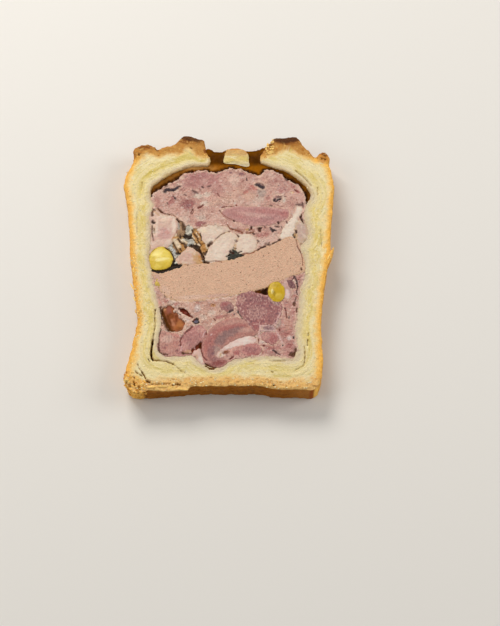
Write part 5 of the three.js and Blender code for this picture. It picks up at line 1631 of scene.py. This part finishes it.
def cut_face_bits():
    """The bits of the tables above, each kind as a piece of its own."""
    draw = random.Random(BITS_SEED)
    kinds = {slot: Bits(slot) for slot in BIT_NAMES if slot != "dough"}
    for slot, colour, bits in BITS:
        for x, y, long, wide, turn in bits:
            kinds[slot].lump(on_face(x, y), (long, wide), turn, shade(colour, draw))
    for slot, colour, node, number, least, most in STREWN:
        for spot in draw.choices(CUT_POINTS[node].tolist(), k=number):
            size = draw.uniform(least, most)
            half = (size * draw.uniform(1.0, 1.8), size)
            kinds[slot].lump(spot, half, draw.uniform(30, 150), shade(colour, draw), 1, FLECK_SUNK)
    for bits in kinds.values():
        bits.finish()


def crumbs(skin, baked):
    """Crumbs and flakes of dough along the crust's edges, in the broken corner and by the chimney."""
    draw = random.Random(CRUMBS_SEED)
    bits = Bits("dough")
    x, y = skin.plan.T
    top = skin.on_top > WHOLLY_CUT
    foot = top & (y < -48.5) & (baked < 3.5)
    corner = (y < -46.5) & (x < -29.5) & (baked < 3.2) & (skin.points[:, 2] > 2.5)
    by_chimney = top & (y > 46.0) & (x > 14.6) & (x < 17.8)
    walls = top & (baked < 3.0) & (np.abs(y) < 46.0)
    lid = top & (y > 44.0) & (y < 49.5) & (baked < 3.0)
    inside = top & (baked > 2.0) & (np.abs(x) > 29.0)
    left_wall = top & (x < -30.0) & (y < 2.0) & (y > -33.0) & (baked < 2.2)
    # Where crumbs lie, their number, smallest and largest half width and colour
    places = [
        (foot, 160, 0.12, 0.4, SKIN_TAN),
        (foot, 90, 0.1, 0.3, CRUMB_CREAM),
        (corner, 44, 0.2, 0.5, SKIN_GOLD),
        (corner, 36, 0.12, 0.4, SKIN_GLOW),
        (corner, 36, 0.12, 0.4, SKIN_TOAST),
        (by_chimney, 24, 0.25, 0.6, SKIN_GLOW),
        (walls, 120, 0.1, 0.3, SKIN_GLOW),
        (lid, 40, 0.15, 0.35, SKIN_TOAST),
        (inside, 160, 0.1, 0.3, CRUMB_CREAM),
        (left_wall, 40, 0.16, 0.4, SKIN_GLOW),
        (left_wall, 30, 0.12, 0.3, CRUMB_CREAM),
    ]
    for chosen, number, least, most, colour in places:
        for spot in draw.choices(skin.points[chosen].tolist(), k=number):
            size = draw.uniform(least, most)
            half = (size * draw.uniform(1.2, 2.6), size, size * draw.uniform(0.2, 0.45))
            turns = (draw.uniform(-30, 30), draw.uniform(-30, 30), draw.uniform(-60, 60))
            bits.flake(spot, half, turns, shade(colour, draw))
    for x, y, long, wide, thick, turn, tilt in FLAKES:
        bits.flake(on_face(x, y), (long, wide, thick), (tilt, 0, turn), shade(SKIN_GLOW, draw))
    bits.finish(smooth=False)


# Stage

FLOOR_SIZE = 3.0
# Soft boxes that light the origin: name, place in metres, size, watts and tint
LIGHTS = [
    ("key_behind_left", (-0.3, 0.6, 0.6), (0.5, 0.35), 5.8, (1.0, 0.97, 0.93)),
    ("fill_left", (-0.7, -0.1, 0.5), (0.5, 0.5), 1.6, (1.0, 0.98, 0.96)),
    ("fill_right", (0.75, 0.1, 0.5), (0.5, 0.5), 2.9, (1.0, 0.98, 0.96)),
]
WORLD_TINT = (1.0, 0.99, 0.97, 1.0)
WORLD_STRENGTH = 0.3
# The camera stands in front of the foot and looks down at the cut face
CAMERA_PLACE = (8.261, -215.235)
CAMERA_AIM = (8.261, -22.966)
CAMERA_HEIGHT = 463.46
CAMERA_LENS = 75.0
CAMERA_NEAR = 0.01
SENSOR = 36.0
# The seed of the first filling
FIRST_SEED = 20


def floor():
    shape = bmesh.new()
    bmesh.ops.create_grid(shape, x_segments=1, y_segments=1, size=FLOOR_SIZE)
    mesh = bpy.data.meshes.new("floor")
    shape.to_mesh(mesh)
    shape.free()
    piece = new_piece("floor", mesh)
    mesh.materials.append(Recipe("pale_floor").finish(FLOOR_PALE, roughness=0.7, shine=0.2))


def look(thing, place, aim):
    """Puts a light or camera in its place, looking at its aim."""
    bpy.context.scene.collection.objects.link(thing)
    thing.location = place
    thing.rotation_euler = (aim - place).to_track_quat("-Z", "Y").to_euler()


def lighting():
    for name, place, size, watts, tint in LIGHTS:
        light = bpy.data.lights.new(name, "AREA")
        light.shape = "RECTANGLE"
        light.size, light.size_y = size
        light.energy = watts
        light.color = tint
        look(bpy.data.objects.new(name, light), Vector(place), Vector())
    world = bpy.data.worlds.new("studio")
    bpy.context.scene.world = world
    world.use_nodes = True
    background = world.node_tree.nodes["Background"]
    background.inputs["Color"].default_value = WORLD_TINT
    background.inputs["Strength"].default_value = WORLD_STRENGTH
    view = bpy.context.scene.view_settings
    view.view_transform = "Standard"
    view.look = "None"


def camera():
    lens = bpy.data.cameras.new("camera")
    lens.lens = CAMERA_LENS
    lens.sensor_width = SENSOR
    lens.clip_start = CAMERA_NEAR
    eye = bpy.data.objects.new("camera", lens)
    stand = Vector((CAMERA_PLACE[0] + SHIFT.x, CAMERA_PLACE[1] + SHIFT.y, CAMERA_HEIGHT)) * MM
    aim = Vector((CAMERA_AIM[0] + SHIFT.x, CAMERA_AIM[1] + SHIFT.y, CUT_FACE)) * MM
    look(eye, stand, aim)
    bpy.context.scene.camera = eye


floor()
lighting()
camera()
dough_skin, dough_baked = crust()
lid_plug()
fillings = sorted(set(frame["nodes"]) - {"crust", "lid_plug"})
for number, filling in enumerate(fillings, FIRST_SEED):
    filling_piece(filling, number)
FACE = finished_face()
cut_face_bits()
crumbs(dough_skin, dough_baked)
